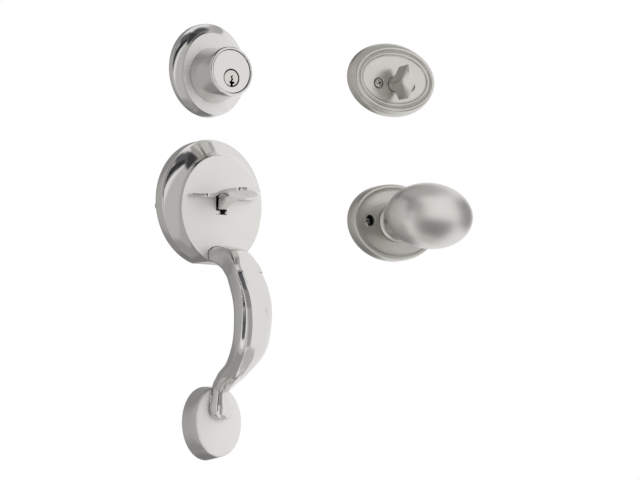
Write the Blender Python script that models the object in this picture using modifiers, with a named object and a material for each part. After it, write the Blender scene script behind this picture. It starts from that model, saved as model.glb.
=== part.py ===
# Entrance door handleset: exterior deadbolt and grip handle, interior thumbturn and egg knob.
# Metres, +Z up. The door's face is the plane Y = 0 and the room side is towards -Y.
# The origin is on the latch axis, on the door's face, behind the upper rose.
import bpy
import bmesh
import math
from mathutils import Matrix, Vector

for leftover in list(bpy.data.objects):
    bpy.data.objects.remove(leftover, do_unlink=True)

# Gap left between two pieces that touch, and how far a cutter runs on past what it cuts.
CLEARANCE = 0.0003
CUT_BEYOND = 0.0100

# Places of the four lock axes on the door's face.
INTERIOR_COLUMN = 0.1715
DEADBOLT_HEIGHT = 0.099
THUMBTURN_HEIGHT = 0.1068
KNOB_HEIGHT = -0.0035
LOWER_ROSE_DROP = 0.1706

# Exterior deadbolt rose. Its outline sits above the lock axis and its face is eccentric.
BOLT_ROSE_HALF_WIDTH = 0.0338
BOLT_ROSE_HALF_HEIGHT = 0.0365
BOLT_ROSE_RISE = 0.0050
BOLT_ROSE_DEPTH = 0.0117
BOLT_ROSE_RIM = 0.0045
BOLT_FACE_HALF_WIDTH = 0.0279
BOLT_FACE_HALF_HEIGHT = 0.0322
BOLT_FACE_DROP = 0.0035
BOLT_ROSE_WALL = 0.0022

# Cylinder guard, housing and plug.
CYLINDER_RADIUS = 0.0168
GUARD_BASE_RADIUS = 0.0215
GUARD_FRONT_RADIUS = 0.0194
GUARD_LENGTH = 0.0260
GUARD_BEAD = 0.0016
CYLINDER_RECESS = 0.0007
FLANGE_RADIUS = 0.0205
FLANGE_THICKNESS = 0.0060
PLUG_RADIUS = 0.0065
PLUG_DROP = 0.0052
PLUG_NECK_RADIUS = 0.0055
PLUG_NECK_LENGTH = 0.0045
CAP_WALL = 0.0026
KEYWAY_HALF_WIDTH = 0.0013
BOLT_SCREW_SPACING = 0.0148
TAILPIECE_LENGTH = 0.0400
TAILPIECE_WIDTH = 0.0060
TAILPIECE_THICKNESS = 0.0016

# Upper rose of the handle.
ROSE_HALF_WIDTH = 0.0454
ROSE_HALF_HEIGHT = 0.0490
ROSE_DEPTH = 0.0230
ROSE_RIM = 0.0095
ROSE_FACE_HALF_WIDTH = 0.0360
ROSE_FACE_HALF_HEIGHT = 0.0420
ROSE_FACE_DROP = 0.0068
ROSE_FOOT = 0.0472
ROSE_WALL = 0.0025
SLOT_HALF_WIDTH = 0.0049
SLOT_TOP = 0.0034
SLOT_BOTTOM = 0.0109

# Thumbpiece: a bird-wing plate on a stem, with its pivot behind the face.
PIVOT_BEHIND_FACE = 0.0080
PIVOT_DROP = 0.0060
PIVOT_PIN_RADIUS = 0.0014
PIVOT_BOSS_RADIUS = 0.0040
STEM_HALF_WIDTH = 0.0038
STEM_BOTTOM = 0.0075
THUMB_PLATE_HEIGHT = 0.0012
THUMB_PLATE_THICKNESS = 0.0022
WING_SPAN = 0.0290
TONGUE_REACH = 0.0420
TONGUE_HALF_WIDTH = 0.0180
TONGUE_HALF_LENGTH = 0.0165

# Works inside the upper rose, built up from the back plate.
BACK_PLATE = 0.0020
CAM_THICKNESS = 0.0025
SLIDE_THICKNESS = 0.0016
SLIDE_HALF_WIDTH = 0.0060
SLIDE_TOP = 0.0200
SLIDE_TAB_REACH = 0.0045
CAM_HUB_RADIUS = 0.0048
CAM_ARM_REACH = 0.0110
CAM_ARM_WIDTH = 0.0030
EAR_THICKNESS = 0.0020
EAR_RADIUS = 0.0040
SPRING_ROOM = 0.0120
SPRING_RADIUS = 0.0024
SPRING_WIRE = 0.00028
SPINDLE_SIZE = 0.0050
SPINDLE_LENGTH = 0.0250
POST_SPACING = 0.0238
POST_RADIUS = 0.0040
POST_LENGTH = 0.0300
POST_BORE = 0.0020
PLATE_SCREW_RADIUS = 0.0012
PLATE_SCREW_LENGTH = 0.0110
ROSE_BOSS_RADIUS = 0.0035
ROSE_BOSS_PLACES = ((-0.0160, 0.0220), (0.0160, 0.0220), (0.0, -0.0260))

# Grip: a curved bar from the upper rose to a bulb on the lower rose. A raised leaf lies on
# its front, between two places that count the stations down the grip.
GRIP_ROOT_HALF_HEIGHT = 0.0058
GRIP_ROOT_DEPTH = 0.0060
GRIP_TANG_HALF_WIDTH = 0.0100
GRIP_TANG_HALF_HEIGHT = 0.0042
GRIP_SCREW_DROP = 0.0402
GRIP_SCREW_SPACING = 0.0060
GRIP_REACH = 0.0703
GRIP_BELLY_DROP = 0.0985
GRIP_HALF_WIDTH = 0.0135
GRIP_HALF_DEPTH = 0.0088
GRIP_BACK_ROUND = 0.0022
BULB_HALF_WIDTH = 0.0096
BULB_STANDOFF = 0.0018
BULB_ABOVE_LOWER_ROSE = 0.0106
LEAF_TOP = 6.1
LEAF_FOOT = 9.5
LEAF_BEVEL = 0.0034
LEAF_RAISE = 0.0012
GRIP_CROWN = 0.0010
GRIP_BOSS_RADIUS = 0.0045
STUD_RADIUS = 0.0030
STUD_LENGTH = 0.0300

# Lower rose.
LOWER_HALF_WIDTH = 0.0210
LOWER_HALF_HEIGHT = 0.0285
LOWER_TAPER = 0.0016
LOWER_RIM = 0.0198
LOWER_EDGE = 0.0012
LOWER_DOME = 0.0014
LOWER_WALL = 0.0022

# Interior thumbturn.
TURN_PLATE_HALF_WIDTH = 0.0406
TURN_PLATE_HALF_HEIGHT = 0.0294
TURN_PLATE_RISE = 0.0042
TURN_PLATE_FIELD = 0.0070
TURN_PLATE_WALL = 0.0018
TURN_BRACKET_RADIUS = 0.0200
TURN_BRACKET_THICKNESS = 0.0018
TURN_STEM_RADIUS = 0.0060
TURN_HALF_WIDTH = 0.0070
TURN_HALF_HEIGHT = 0.0139
TURN_REACH = 0.0290
TURN_BODY_LENGTH = 0.0172
TURN_SHAFT_RADIUS = 0.0040
TURN_SHAFT_LENGTH = 0.0200
TURN_SCREW_LENGTH = 0.0260
SCREW_SHANK_RADIUS = 0.0020
SCREW_HEAD_RADIUS = 0.0037
SCREW_HEAD_HEIGHT = 0.0024

# Interior knob.
KNOB_ROSE_HALF_WIDTH = 0.0405
KNOB_ROSE_HALF_HEIGHT = 0.0305
KNOB_ROSE_LIP = 0.0097
KNOB_ROSE_FIELD = 0.0080
KNOB_ROSE_WALL = 0.0018
KNOB_BASE_PLATE = 0.0016
KNOB_SPRING_WIRE = 0.0007
KNOB_SPRING_RADIUS = 0.0145
DRIVE_PLATE = 0.0016
DRIVE_PLATE_RADIUS = 0.0160
NECK_FLANGE_RADIUS = 0.0155
NECK_RADIUS = 0.0108
NECK_SLEEVE_RADIUS = 0.0120
NECK_GRIP = 0.0080
KNOB_HALF_WIDTH = 0.0378
KNOB_HALF_HEIGHT = 0.0260
KNOB_HALF_DEPTH = 0.0240
KNOB_CENTRE = 0.0560
KNOB_WALL = 0.0016
KNOB_SPINDLE_SIZE = 0.0070
KNOB_SPINDLE_LENGTH = 0.0500
KNOB_SPINDLE_TAIL = 0.0200
KNOB_SCREW_LENGTH = 0.0200

TURN_SEGMENTS = 24
ROSE_SEGMENTS = 40
FOOT_POINTS = 3

PARTS = bpy.data.collections.new("door_handleset")
CUTTERS = bpy.data.collections.new("cutters")
bpy.context.scene.collection.children.link(PARTS)
bpy.context.scene.collection.children.link(CUTTERS)


def metal(name, colour, roughness):
    """A bare metal finish."""
    finish = bpy.data.materials.new(name)
    finish.use_nodes = True
    shader = finish.node_tree.nodes["Principled BSDF"]
    shader.inputs["Base Color"].default_value = (*colour, 1.0)
    shader.inputs["Roughness"].default_value = roughness
    shader.inputs["Metallic"].default_value = 1.0
    finish.diffuse_color = (*colour, 1.0)
    return finish


SATIN_NICKEL = metal("satin_nickel", (0.62, 0.61, 0.59), 0.28)
BRUSHED_NICKEL = metal("brushed_nickel", (0.60, 0.59, 0.57), 0.36)
ZINC_STEEL = metal("zinc_plated_steel", (0.55, 0.56, 0.58), 0.40)
SPRING_STEEL = metal("spring_steel", (0.30, 0.30, 0.31), 0.35)


def assembly(name, x, z):
    """An empty on a lock axis. In its frame x is right, y is up and z leaves the door."""
    empty = bpy.data.objects.new(name, None)
    empty.location = (x, 0.0, z)
    empty.rotation_euler = (math.radians(90), 0.0, 0.0)
    PARTS.objects.link(empty)
    return empty


def piece(name, mesh, parent, finish, place=(0.0, 0.0, 0.0)):
    """A named part at its place in an assembly's frame."""
    mesh.name = name
    mesh.materials.append(finish)
    mesh.shade_smooth()
    mesh.set_sharp_from_angle(angle=math.radians(35))
    made = bpy.data.objects.new(name, mesh)
    made.parent = parent
    made.location = place
    PARTS.objects.link(made)
    return made


def tool(name, mesh, parent, place=(0.0, 0.0, 0.0)):
    """A hidden solid that shapes another one."""
    made = bpy.data.objects.new(name, mesh)
    made.parent = parent
    made.location = place
    made.hide_render = True
    made.display_type = "WIRE"
    CUTTERS.objects.link(made)
    return made


def combine(target, other, operation="DIFFERENCE"):
    """A Boolean between a part and a hidden solid."""
    step = target.modifiers.new(f"{operation.lower()}_{other.name}", "BOOLEAN")
    step.operation = operation
    step.solver = "EXACT"
    step.object = other


def revolved(name, profile, segments=TURN_SEGMENTS):
    """A mesh turned about Z from (radius, height) points, as one closed skin."""
    area = sum(a[0] * b[1] - b[0] * a[1] for a, b in zip(profile, profile[1:] + profile[:1]))
    points = profile if area < 0 else profile[::-1]
    closed = min(radius for radius, _ in points) > 0
    if not closed:
        first = next(i for i, p in enumerate(points) if p[0] == 0 and points[i - 1][0] == 0)
        points = points[first:] + points[:first]
    mesh = bpy.data.meshes.new(name)
    edges = [(i, i + 1) for i in range(len(points) - 1)]
    if closed:
        edges.append((len(points) - 1, 0))
    mesh.from_pydata([(radius, 0.0, height) for radius, height in points], edges, [])
    source = bpy.data.objects.new(name, mesh)
    bpy.context.scene.collection.objects.link(source)
    screw = source.modifiers.new("turn", "SCREW")
    screw.axis = "Z"
    screw.steps = segments
    screw.render_steps = segments
    screw.use_merge_vertices = True
    screw.merge_threshold = 0.00001
    return settled(source)


def settled(source):
    """The evaluated mesh of a helper object, which is then removed."""
    graph = bpy.context.evaluated_depsgraph_get()
    mesh = bpy.data.meshes.new_from_object(source.evaluated_get(graph))
    bpy.data.objects.remove(source, do_unlink=True)
    work = bmesh.new()
    work.from_mesh(mesh)
    bmesh.ops.remove_doubles(work, verts=work.verts, dist=0.000001)
    bmesh.ops.recalc_face_normals(work, faces=work.faces)
    work.to_mesh(mesh)
    work.free()
    return mesh


def flat(name, outlines, bottom, top):
    """A plate cut from closed outlines in XY, between two heights in Z."""
    curve = bpy.data.curves.new(name, "CURVE")
    curve.dimensions = "2D"
    curve.fill_mode = "BOTH"
    curve.extrude = (top - bottom) / 2
    for outline in outlines:
        spline = curve.splines.new("POLY")
        spline.points.add(len(outline) - 1)
        for point, (x, y) in zip(spline.points, outline):
            point.co = (x, y, 0.0, 1.0)
        spline.use_cyclic_u = True
    source = bpy.data.objects.new(name, curve)
    bpy.context.scene.collection.objects.link(source)
    mesh = settled(source)
    mesh.transform(Matrix.Translation((0.0, 0.0, (top + bottom) / 2)))
    return mesh


def sideways(mesh):
    """Turns a plate drawn as (height, reach) and extruded in Z so that it is extruded in X."""
    turn = Matrix(((0, 0, 1, 0), (1, 0, 0, 0), (0, 1, 0, 0), (0, 0, 0, 1)))
    mesh.transform(turn)
    return mesh


def box(name, x, y, z):
    """A block between two corners, each given as (low, high)."""
    low = Vector((x[0], y[0], z[0]))
    high = Vector((x[1], y[1], z[1]))
    work = bmesh.new()
    size = Matrix.Diagonal((*(high - low), 1.0))
    bmesh.ops.create_cube(work, size=1.0, matrix=Matrix.Translation((low + high) / 2) @ size)
    mesh = bpy.data.meshes.new(name)
    work.to_mesh(mesh)
    work.free()
    return mesh


def rod(name, radius, bottom, top, segments=16):
    """A plain cylinder along Z."""
    work = bmesh.new()
    bmesh.ops.create_cone(work, cap_ends=True, segments=segments, radius1=radius, radius2=radius,
                          depth=top - bottom, matrix=Matrix.Translation((0, 0, (top + bottom) / 2)))
    mesh = bpy.data.meshes.new(name)
    work.to_mesh(mesh)
    work.free()
    return mesh


def cross_rod(name, radius, half_length, segments=16):
    """A plain cylinder along X."""
    mesh = rod(name, radius, -half_length, half_length, segments)
    mesh.transform(Matrix.Rotation(math.radians(90), 4, "Y"))
    return mesh


def loft(name, rings, closed=False):
    """A skin over rings of equal counts. A closed loft joins its last ring to its first."""
    work = bmesh.new()
    rows = [[work.verts.new(point) for point in ring] for ring in rings]
    count = len(rows[0])
    pairs = list(zip(rows, rows[1:]))
    if closed:
        pairs.append((rows[-1], rows[0]))
    for lower, upper in pairs:
        for i in range(count):
            j = (i + 1) % count
            work.faces.new((lower[i], lower[j], upper[j], upper[i]))
    if not closed:
        work.faces.new(rows[0])
        work.faces.new(rows[-1])
    bmesh.ops.recalc_face_normals(work, faces=work.faces)
    mesh = bpy.data.meshes.new(name)
    work.to_mesh(mesh)
    work.free()
    return mesh


def footed_arc(half_width, half_height, centre, foot, count):
    """Points round an ellipse from one corner of its flat foot to the other."""
    start = math.asin(min(0.999, (foot + centre) / half_height))
    points = []
    for i in range(count):
        angle = -start + (math.pi + 2 * start) * i / (count - 1)
        points.append((half_width * math.cos(angle), centre + half_height * math.sin(angle)))
    return points


def oval(half_width, half_height, z, centre=0.0, foot=None, segments=ROSE_SEGMENTS):
    """A ring of points on an ellipse at height z, which may have a flat foot."""
    if foot is None:
        angles = [2 * math.pi * i / segments for i in range(segments)]
        return [(half_width * math.cos(a), centre + half_height * math.sin(a), z) for a in angles]
    arc = footed_arc(half_width, half_height, centre, foot, segments - FOOT_POINTS)
    left, right = arc[-1][0], arc[0][0]
    along = [left + (right - left) * k / (FOOT_POINTS + 1) for k in range(1, FOOT_POINTS + 1)]
    return [(x, y, z) for x, y in arc] + [(x, -foot, z) for x in along]


def cove(t):
    """Height along a cove, from 0 at the rim to 1 at the face."""
    return 0.55 * t + 0.45 * (1 - math.sqrt(max(0.0, 1 - t * t)))


def coved_rings(outer, face, rim, depth, inset=0.0, foot=None, steps=5):
    """Rings of a coved rose from its back edge to its face, moved inwards by a wall."""
    back_width, back_height, back_centre = outer
    face_width, face_height, face_centre = face
    low = None if foot is None else foot - inset
    rings = [oval(back_width - inset, back_height - inset, 0.0, back_centre, low)]
    for k in range(steps + 1):
        t = k / steps
        width = back_width + (face_width - back_width) * t - inset
        height = back_height + (face_height - back_height) * t - inset
        centre = back_centre + (face_centre - back_centre) * t
        z = rim + (depth - rim) * cove(t) - inset
        rings.append(oval(width, height, z, centre, low))
    return rings


def spring_wire(name, points, radius, parent, finish):
    """A bent wire with closed ends."""
    curve = bpy.data.curves.new(name, "CURVE")
    curve.dimensions = "3D"
    curve.bevel_depth = radius
    curve.bevel_resolution = 1
    curve.use_fill_caps = True
    spline = curve.splines.new("POLY")
    spline.points.add(len(points) - 1)
    for point, place in zip(spline.points, points):
        point.co = (*place, 1.0)
    source = bpy.data.objects.new(name, curve)
    bpy.context.scene.collection.objects.link(source)
    return piece(name, settled(source), parent, finish)


def pan_screw(name, parent, x, y, seat, length):
    """A pan-head screw with its head on a seat and its shank towards the door."""
    crown = SCREW_HEAD_HEIGHT
    profile = [
        (0.0, seat + crown), (SCREW_HEAD_RADIUS * 0.55, seat + crown * 0.94),
        (SCREW_HEAD_RADIUS * 0.88, seat + crown * 0.66), (SCREW_HEAD_RADIUS, seat),
        (SCREW_SHANK_RADIUS, seat), (SCREW_SHANK_RADIUS, seat - length + SCREW_SHANK_RADIUS),
        (SCREW_SHANK_RADIUS * 0.5, seat - length), (0.0, seat - length),
    ]
    return piece(name, revolved(name, profile, 16), parent, ZINC_STEEL, (x, y, 0.0))


def flat_screw(name, parent, x, y, length):
    """A countersunk screw from the back of the handle's back plate, flush with it."""
    head = PLATE_SCREW_RADIUS + BACK_PLATE * 0.75
    profile = [
        (0.0, 0.0), (head, 0.0), (PLATE_SCREW_RADIUS, BACK_PLATE * 0.75),
        (PLATE_SCREW_RADIUS, length), (0.0, length),
    ]
    return piece(name, revolved(name, profile, 12), parent, ZINC_STEEL, (x, y, 0.0))


def flat_screw_hole(name, parent, x, y):
    """The countersunk hole for a flat screw through the back plate."""
    head = PLATE_SCREW_RADIUS + BACK_PLATE * 0.75 + CLEARANCE * 1.5
    reach = BACK_PLATE * 0.75
    shank = PLATE_SCREW_RADIUS + CLEARANCE
    profile = [
        (0.0, -BACK_PLATE), (head + BACK_PLATE, -BACK_PLATE), (shank, reach + CLEARANCE),
        (shank, BACK_PLATE * 2), (0.0, BACK_PLATE * 2),
    ]
    return tool(name, revolved(name, profile, 12), parent, (x, y, 0.0))


# Exterior deadbolt
deadbolt_axis = assembly("deadbolt_axis", 0.0, DEADBOLT_HEIGHT)
bolt_outer = (BOLT_ROSE_HALF_WIDTH, BOLT_ROSE_HALF_HEIGHT, BOLT_ROSE_RISE)
bolt_face = (BOLT_FACE_HALF_WIDTH, BOLT_FACE_HALF_HEIGHT, BOLT_ROSE_RISE - BOLT_FACE_DROP)
guard_seat = BOLT_ROSE_DEPTH + CLEARANCE
guard_front = guard_seat + GUARD_LENGTH
cylinder_front = guard_front - CYLINDER_RECESS
rose_hole = CYLINDER_RADIUS + CLEARANCE

rings = coved_rings(bolt_outer, bolt_face, BOLT_ROSE_RIM, BOLT_ROSE_DEPTH)
rings.append(oval(rose_hole, rose_hole, BOLT_ROSE_DEPTH))
inner = coved_rings(bolt_outer, bolt_face, BOLT_ROSE_RIM, BOLT_ROSE_DEPTH, BOLT_ROSE_WALL)
rings.append(oval(rose_hole, rose_hole, BOLT_ROSE_DEPTH - BOLT_ROSE_WALL))
rings += inner[::-1]
piece("deadbolt_rose", loft("deadbolt_rose", rings, closed=True), deadbolt_axis, SATIN_NICKEL)


def guard_profile():
    """The tapered collar with a rounded bead at its front edge."""
    bore = CYLINDER_RADIUS + CLEARANCE
    bead_centre = GUARD_FRONT_RADIUS - GUARD_BEAD
    points = [(bore, guard_seat), (GUARD_BASE_RADIUS, guard_seat)]
    for t in (0.12, 0.45, 0.80):
        sag = 0.0005 * math.sin(math.pi * t)
        radius = GUARD_BASE_RADIUS + (GUARD_FRONT_RADIUS - GUARD_BASE_RADIUS) * t - sag
        points.append((radius, guard_seat + (GUARD_LENGTH - GUARD_BEAD) * t))
    for degrees in (0, 30, 60, 90):
        angle = math.radians(degrees)
        points.append((bead_centre + GUARD_BEAD * math.cos(angle),
                       guard_front - GUARD_BEAD + GUARD_BEAD * math.sin(angle)))
    points.append((bore + 0.0002, guard_front - 0.0003))
    points.append((bore, guard_front - 0.0012))
    return points


piece("cylinder_guard", revolved("cylinder_guard", guard_profile(), 32), deadbolt_axis, SATIN_NICKEL)

flange_top = BOLT_ROSE_DEPTH - BOLT_ROSE_WALL - 0.0005
flange_bottom = flange_top - FLANGE_THICKNESS
housing = piece("cylinder_housing", revolved("cylinder_housing", [
    (0.0, cylinder_front), (CYLINDER_RADIUS - 0.0004, cylinder_front),
    (CYLINDER_RADIUS, cylinder_front - 0.0004), (CYLINDER_RADIUS, flange_top),
    (FLANGE_RADIUS, flange_top), (FLANGE_RADIUS, flange_bottom), (0.0, flange_bottom)], 32),
    deadbolt_axis, BRUSHED_NICKEL)
plug_bore = rod("plug_bore", PLUG_RADIUS + CLEARANCE, -CUT_BEYOND, guard_front + CUT_BEYOND, 24)
combine(housing, tool("plug_bore", plug_bore, deadbolt_axis, (0.0, -PLUG_DROP, 0.0)))
for side in (-1, 1):
    thread = rod("lug_bore", SCREW_SHANK_RADIUS + CLEARANCE, -CUT_BEYOND, flange_bottom + 0.0045, 12)
    place = (side * BOLT_SCREW_SPACING, 0.0, 0.0)
    combine(housing, tool(f"lug_bore_{side}", thread, deadbolt_axis, place))

neck_end = flange_bottom - PLUG_NECK_LENGTH
plug = piece("cylinder_plug", revolved("cylinder_plug", [
    (0.0, cylinder_front), (PLUG_RADIUS - 0.0003, cylinder_front), (PLUG_RADIUS, cylinder_front - 0.0003),
    (PLUG_RADIUS, flange_bottom), (PLUG_NECK_RADIUS, flange_bottom), (PLUG_NECK_RADIUS, neck_end),
    (0.0, neck_end)], 24), deadbolt_axis, BRUSHED_NICKEL, (0.0, -PLUG_DROP, 0.0))


def keyway_outline():
    """The warded slot: it steps from side to side and is open at the plug's foot."""
    w = KEYWAY_HALF_WIDTH
    foot = -PLUG_RADIUS * 1.3
    return [
        (-0.1 * w, 0.22 * PLUG_RADIUS), (0.4 * w, 0.37 * PLUG_RADIUS), (1.1 * w, 0.33 * PLUG_RADIUS),
        (1.0 * w, 0.18 * PLUG_RADIUS), (0.5 * w, 0.06 * PLUG_RADIUS), (0.9 * w, -0.10 * PLUG_RADIUS),
        (0.5 * w, -0.25 * PLUG_RADIUS), (-0.2 * w, -0.40 * PLUG_RADIUS), (0.4 * w, -0.55 * PLUG_RADIUS),
        (1.0 * w, -0.68 * PLUG_RADIUS), (1.0 * w, foot), (-0.5 * w, foot),
        (-0.5 * w, -0.71 * PLUG_RADIUS), (-1.3 * w, -0.52 * PLUG_RADIUS), (-1.3 * w, -0.37 * PLUG_RADIUS),
        (-0.4 * w, -0.15 * PLUG_RADIUS), (-0.1 * w, 0.0),
    ]


keyway = flat("keyway", [keyway_outline()], flange_bottom + 0.004, guard_front + CUT_BEYOND)
combine(plug, tool("keyway", keyway, deadbolt_axis, (0.0, -PLUG_DROP, 0.0)))

cap_front = flange_bottom - CLEARANCE
cap_bore = PLUG_NECK_RADIUS + CLEARANCE
head_front = neck_end - CLEARANCE
head_back = head_front - TAILPIECE_THICKNESS
cap_floor = head_back - CLEARANCE
cap_back = cap_floor - CAP_WALL * 0.6
blade_reach = math.hypot(TAILPIECE_WIDTH, TAILPIECE_THICKNESS) / 2
piece("plug_cap", revolved("plug_cap", [
    (cap_bore, cap_front), (cap_bore + CAP_WALL, cap_front), (cap_bore + CAP_WALL, cap_back),
    (blade_reach + CLEARANCE, cap_back), (blade_reach + CLEARANCE, cap_floor), (cap_bore, cap_floor)], 20),
    deadbolt_axis, ZINC_STEEL, (0.0, -PLUG_DROP, 0.0))
tailpiece = piece("tailpiece", rod("tailpiece", PLUG_NECK_RADIUS, head_back, head_front, 24),
                  deadbolt_axis, ZINC_STEEL, (0.0, -PLUG_DROP, 0.0))
blade = box("tail_blade", (-TAILPIECE_THICKNESS / 2, TAILPIECE_THICKNESS / 2),
            (-TAILPIECE_WIDTH / 2, TAILPIECE_WIDTH / 2), (head_back - TAILPIECE_LENGTH, head_front - 0.0004))
combine(tailpiece, tool("tail_blade", blade, deadbolt_axis, (0.0, -PLUG_DROP, 0.0)), "UNION")

# Upper rose of the handle
latch_axis = assembly("latch_axis", 0.0, 0.0)
rose_outer = (ROSE_HALF_WIDTH, ROSE_HALF_HEIGHT, 0.0)
rose_face = (ROSE_FACE_HALF_WIDTH, ROSE_FACE_HALF_HEIGHT, -ROSE_FACE_DROP)
rose_inside = ROSE_DEPTH - ROSE_WALL
plate_top = BACK_PLATE + CLEARANCE

rings = coved_rings(rose_outer, rose_face, ROSE_RIM, ROSE_DEPTH, foot=ROSE_FOOT)[::-1]
rings += coved_rings(rose_outer, rose_face, ROSE_RIM, ROSE_DEPTH, ROSE_WALL, ROSE_FOOT)
handle_rose = piece("handle_rose", loft("handle_rose", rings), latch_axis, SATIN_NICKEL)
for count, (x, y) in enumerate(ROSE_BOSS_PLACES, start=1):
    boss = revolved("rose_boss", [
        (PLATE_SCREW_RADIUS + CLEARANCE, plate_top), (ROSE_BOSS_RADIUS, plate_top),
        (ROSE_BOSS_RADIUS, rose_inside + ROSE_WALL / 2), (0.0, rose_inside + ROSE_WALL / 2),
        (0.0, PLATE_SCREW_LENGTH + 0.001), (PLATE_SCREW_RADIUS + CLEARANCE, PLATE_SCREW_LENGTH + 0.001)], 16)
    combine(handle_rose, tool(f"rose_boss_{count}", boss, latch_axis, (x, y, 0.0)), "UNION")
slot = box("thumb_slot", (-SLOT_HALF_WIDTH, SLOT_HALF_WIDTH), (-SLOT_BOTTOM, SLOT_TOP),
           (rose_inside - 0.003, ROSE_DEPTH + 0.005))
combine(handle_rose, tool("thumb_slot", slot, latch_axis))

# Grip
grip_root_start = plate_top + 0.0001
lower_face = LOWER_RIM + LOWER_DOME
bulb_depth = lower_face + BULB_STANDOFF
grip_root_drop = ROSE_FOOT - GRIP_ROOT_HALF_HEIGHT
bulb_drop = LOWER_ROSE_DROP - BULB_ABOVE_LOWER_ROSE


def grip_stations():
    """Stations down the grip: (reach, drop, half width, half depth, leaf half width, roundness)."""
    width, depth, bulb = GRIP_HALF_WIDTH, GRIP_HALF_DEPTH, BULB_HALF_WIDTH
    root, face = grip_root_drop, ROSE_DEPTH
    belly, far = GRIP_BELLY_DROP, GRIP_REACH
    out = GRIP_REACH - face
    fall = GRIP_BELLY_DROP - root
    back = GRIP_REACH - bulb_depth
    rise = bulb_drop - GRIP_BELLY_DROP
    upper = [
        (face - GRIP_ROOT_DEPTH, root, 0.87 * width, GRIP_ROOT_HALF_HEIGHT, 0.70 * width, 0.0),
        (face + 0.0008, root, 0.87 * width, GRIP_ROOT_HALF_HEIGHT, 0.70 * width, 0.0),
        (face + 0.215 * out, root + 0.040 * fall, 0.79 * width, 0.85 * depth, 0.60 * width, 0.0),
        (face + 0.353 * out, root + 0.084 * fall, 0.78 * width, 0.95 * depth, 0.56 * width, 0.0),
        (face + 0.485 * out, root + 0.136 * fall, 0.79 * width, 1.04 * depth, 0.57 * width, 0.0),
        (face + 0.620 * out, root + 0.238 * fall, 0.84 * width, 1.00 * depth, 0.70 * width, 0.0),
        (face + 0.725 * out, root + 0.345 * fall, 0.90 * width, 0.93 * depth, 0.83 * width, 0.0),
        (face + 0.955 * out, root + 0.683 * fall, 0.985 * width, 1.00 * depth, 0.83 * width, 0.0),
        (far, belly, width, depth, 0.74 * width, 0.0),
    ]
    lower = [
        (far - 0.105 * back, belly + 0.304 * rise, 0.95 * width, 0.90 * depth, 0.63 * width, 0.0),
        (far - 0.425 * back, belly + 0.554 * rise, 0.81 * width, 0.67 * depth, 0.36 * width, 0.15),
        (far - 0.800 * back, belly + 0.694 * rise, 0.65 * width, 0.49 * depth, 0.30 * width, 0.5),
        (far - 0.990 * back, belly + 0.770 * rise, 0.72 * bulb, 0.57 * depth, 0.40 * bulb, 0.9),
        (bulb_depth, belly + 0.876 * rise, 0.86 * bulb, 0.70 * depth, 0.50 * bulb, 1.0),
        (bulb_depth, bulb_drop, bulb, 0.86 * depth, 0.60 * bulb, 1.0),
        (bulb_depth, bulb_drop + 0.68 * bulb, 0.83 * bulb, 0.70 * depth, 0.50 * bulb, 1.0),
        (bulb_depth, bulb_drop + 1.02 * bulb, 0.38 * bulb, 0.34 * depth, 0.24 * bulb, 1.0),
    ]
    return upper + lower


def station_at(stations, place):
    """The grip's values at a place between stations, on a smooth curve through them."""
    last = len(stations) - 1
    i = min(int(place), last - 1)
    t = place - i
    p0, p1 = stations[max(i - 1, 0)], stations[i]
    p2, p3 = stations[i + 1], stations[min(i + 2, last)]
    return [
        0.5 * (2 * b + (c - a) * t + (2 * a - 5 * b + 4 * c - d) * t * t + (3 * b - a - 3 * c + d) * t ** 3)
        for a, b, c, d in zip(p0, p1, p2, p3)]


def ease(value):
    """A smooth step from 0 to 1."""
    value = min(1.0, max(0.0, value))
    return value * value * (3 - 2 * value)


def grip_section(width, depth, leaf_width, roundness, leaf):
    """One section as (sideways, outward) points: a chamfered bar whose front may carry the leaf."""
    chamfer = width - leaf_width
    shoulder = depth - GRIP_CROWN - LEAF_RAISE * leaf
    plateau = max(leaf_width - LEAF_BEVEL, 0.35 * leaf_width)
    back = min(GRIP_BACK_ROUND, 0.4 * depth)
    half = [
        (0.5 * plateau, depth - 0.1 * GRIP_CROWN),
        (plateau, depth - 0.3 * GRIP_CROWN),
        (leaf_width, shoulder),
        (width, max(shoulder - chamfer, -0.2 * depth)),
        (width, -0.45 * depth),
    ]
    for degrees in (0, 30, 60, 90):
        angle = math.radians(degrees)
        half.append((width - back + back * math.cos(angle), -depth + back - back * math.sin(angle)))
    half.append((0.45 * width, -depth - 0.0002))
    points = [(0.0, depth)] + half + [(0.0, -depth - 0.0003)] + [(-x, n) for x, n in reversed(half)]
    section = []
    for x, n in points:
        angle = math.atan2(n / depth, x / width)
        section.append((x + (width * math.cos(angle) - x) * roundness,
                        n + (depth * math.sin(angle) - n) * roundness))
    return section


def grip_rings(stations, spare=0.0, leafed=True):
    """Rings across the centre line, each square to it."""
    last = len(stations) - 1
    places = [k / 2 for k in range(2 * last + 1)]
    places += [LEAF_TOP - 0.02, LEAF_TOP + 0.12]
    rings = []
    for place in sorted(places):
        reach, drop, width, depth, leaf_width, roundness = station_at(stations, place)
        before = station_at(stations, max(place - 0.05, 0.0))
        after = station_at(stations, min(place + 0.05, last))
        along = Vector((after[0] - before[0], before[1] - after[1])).normalized()
        outward = Vector((-along.y, along.x))
        leaf = 0.0
        if leafed and LEAF_TOP < place < LEAF_FOOT:
            leaf = ease((LEAF_FOOT - place) / 1.2)
        ring = []
        for x, n in grip_section(width + spare, depth + spare, leaf_width + spare, roundness, leaf):
            ring.append((x, -drop + n * outward.y, reach + n * outward.x))
        rings.append(ring)
    return rings


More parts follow.
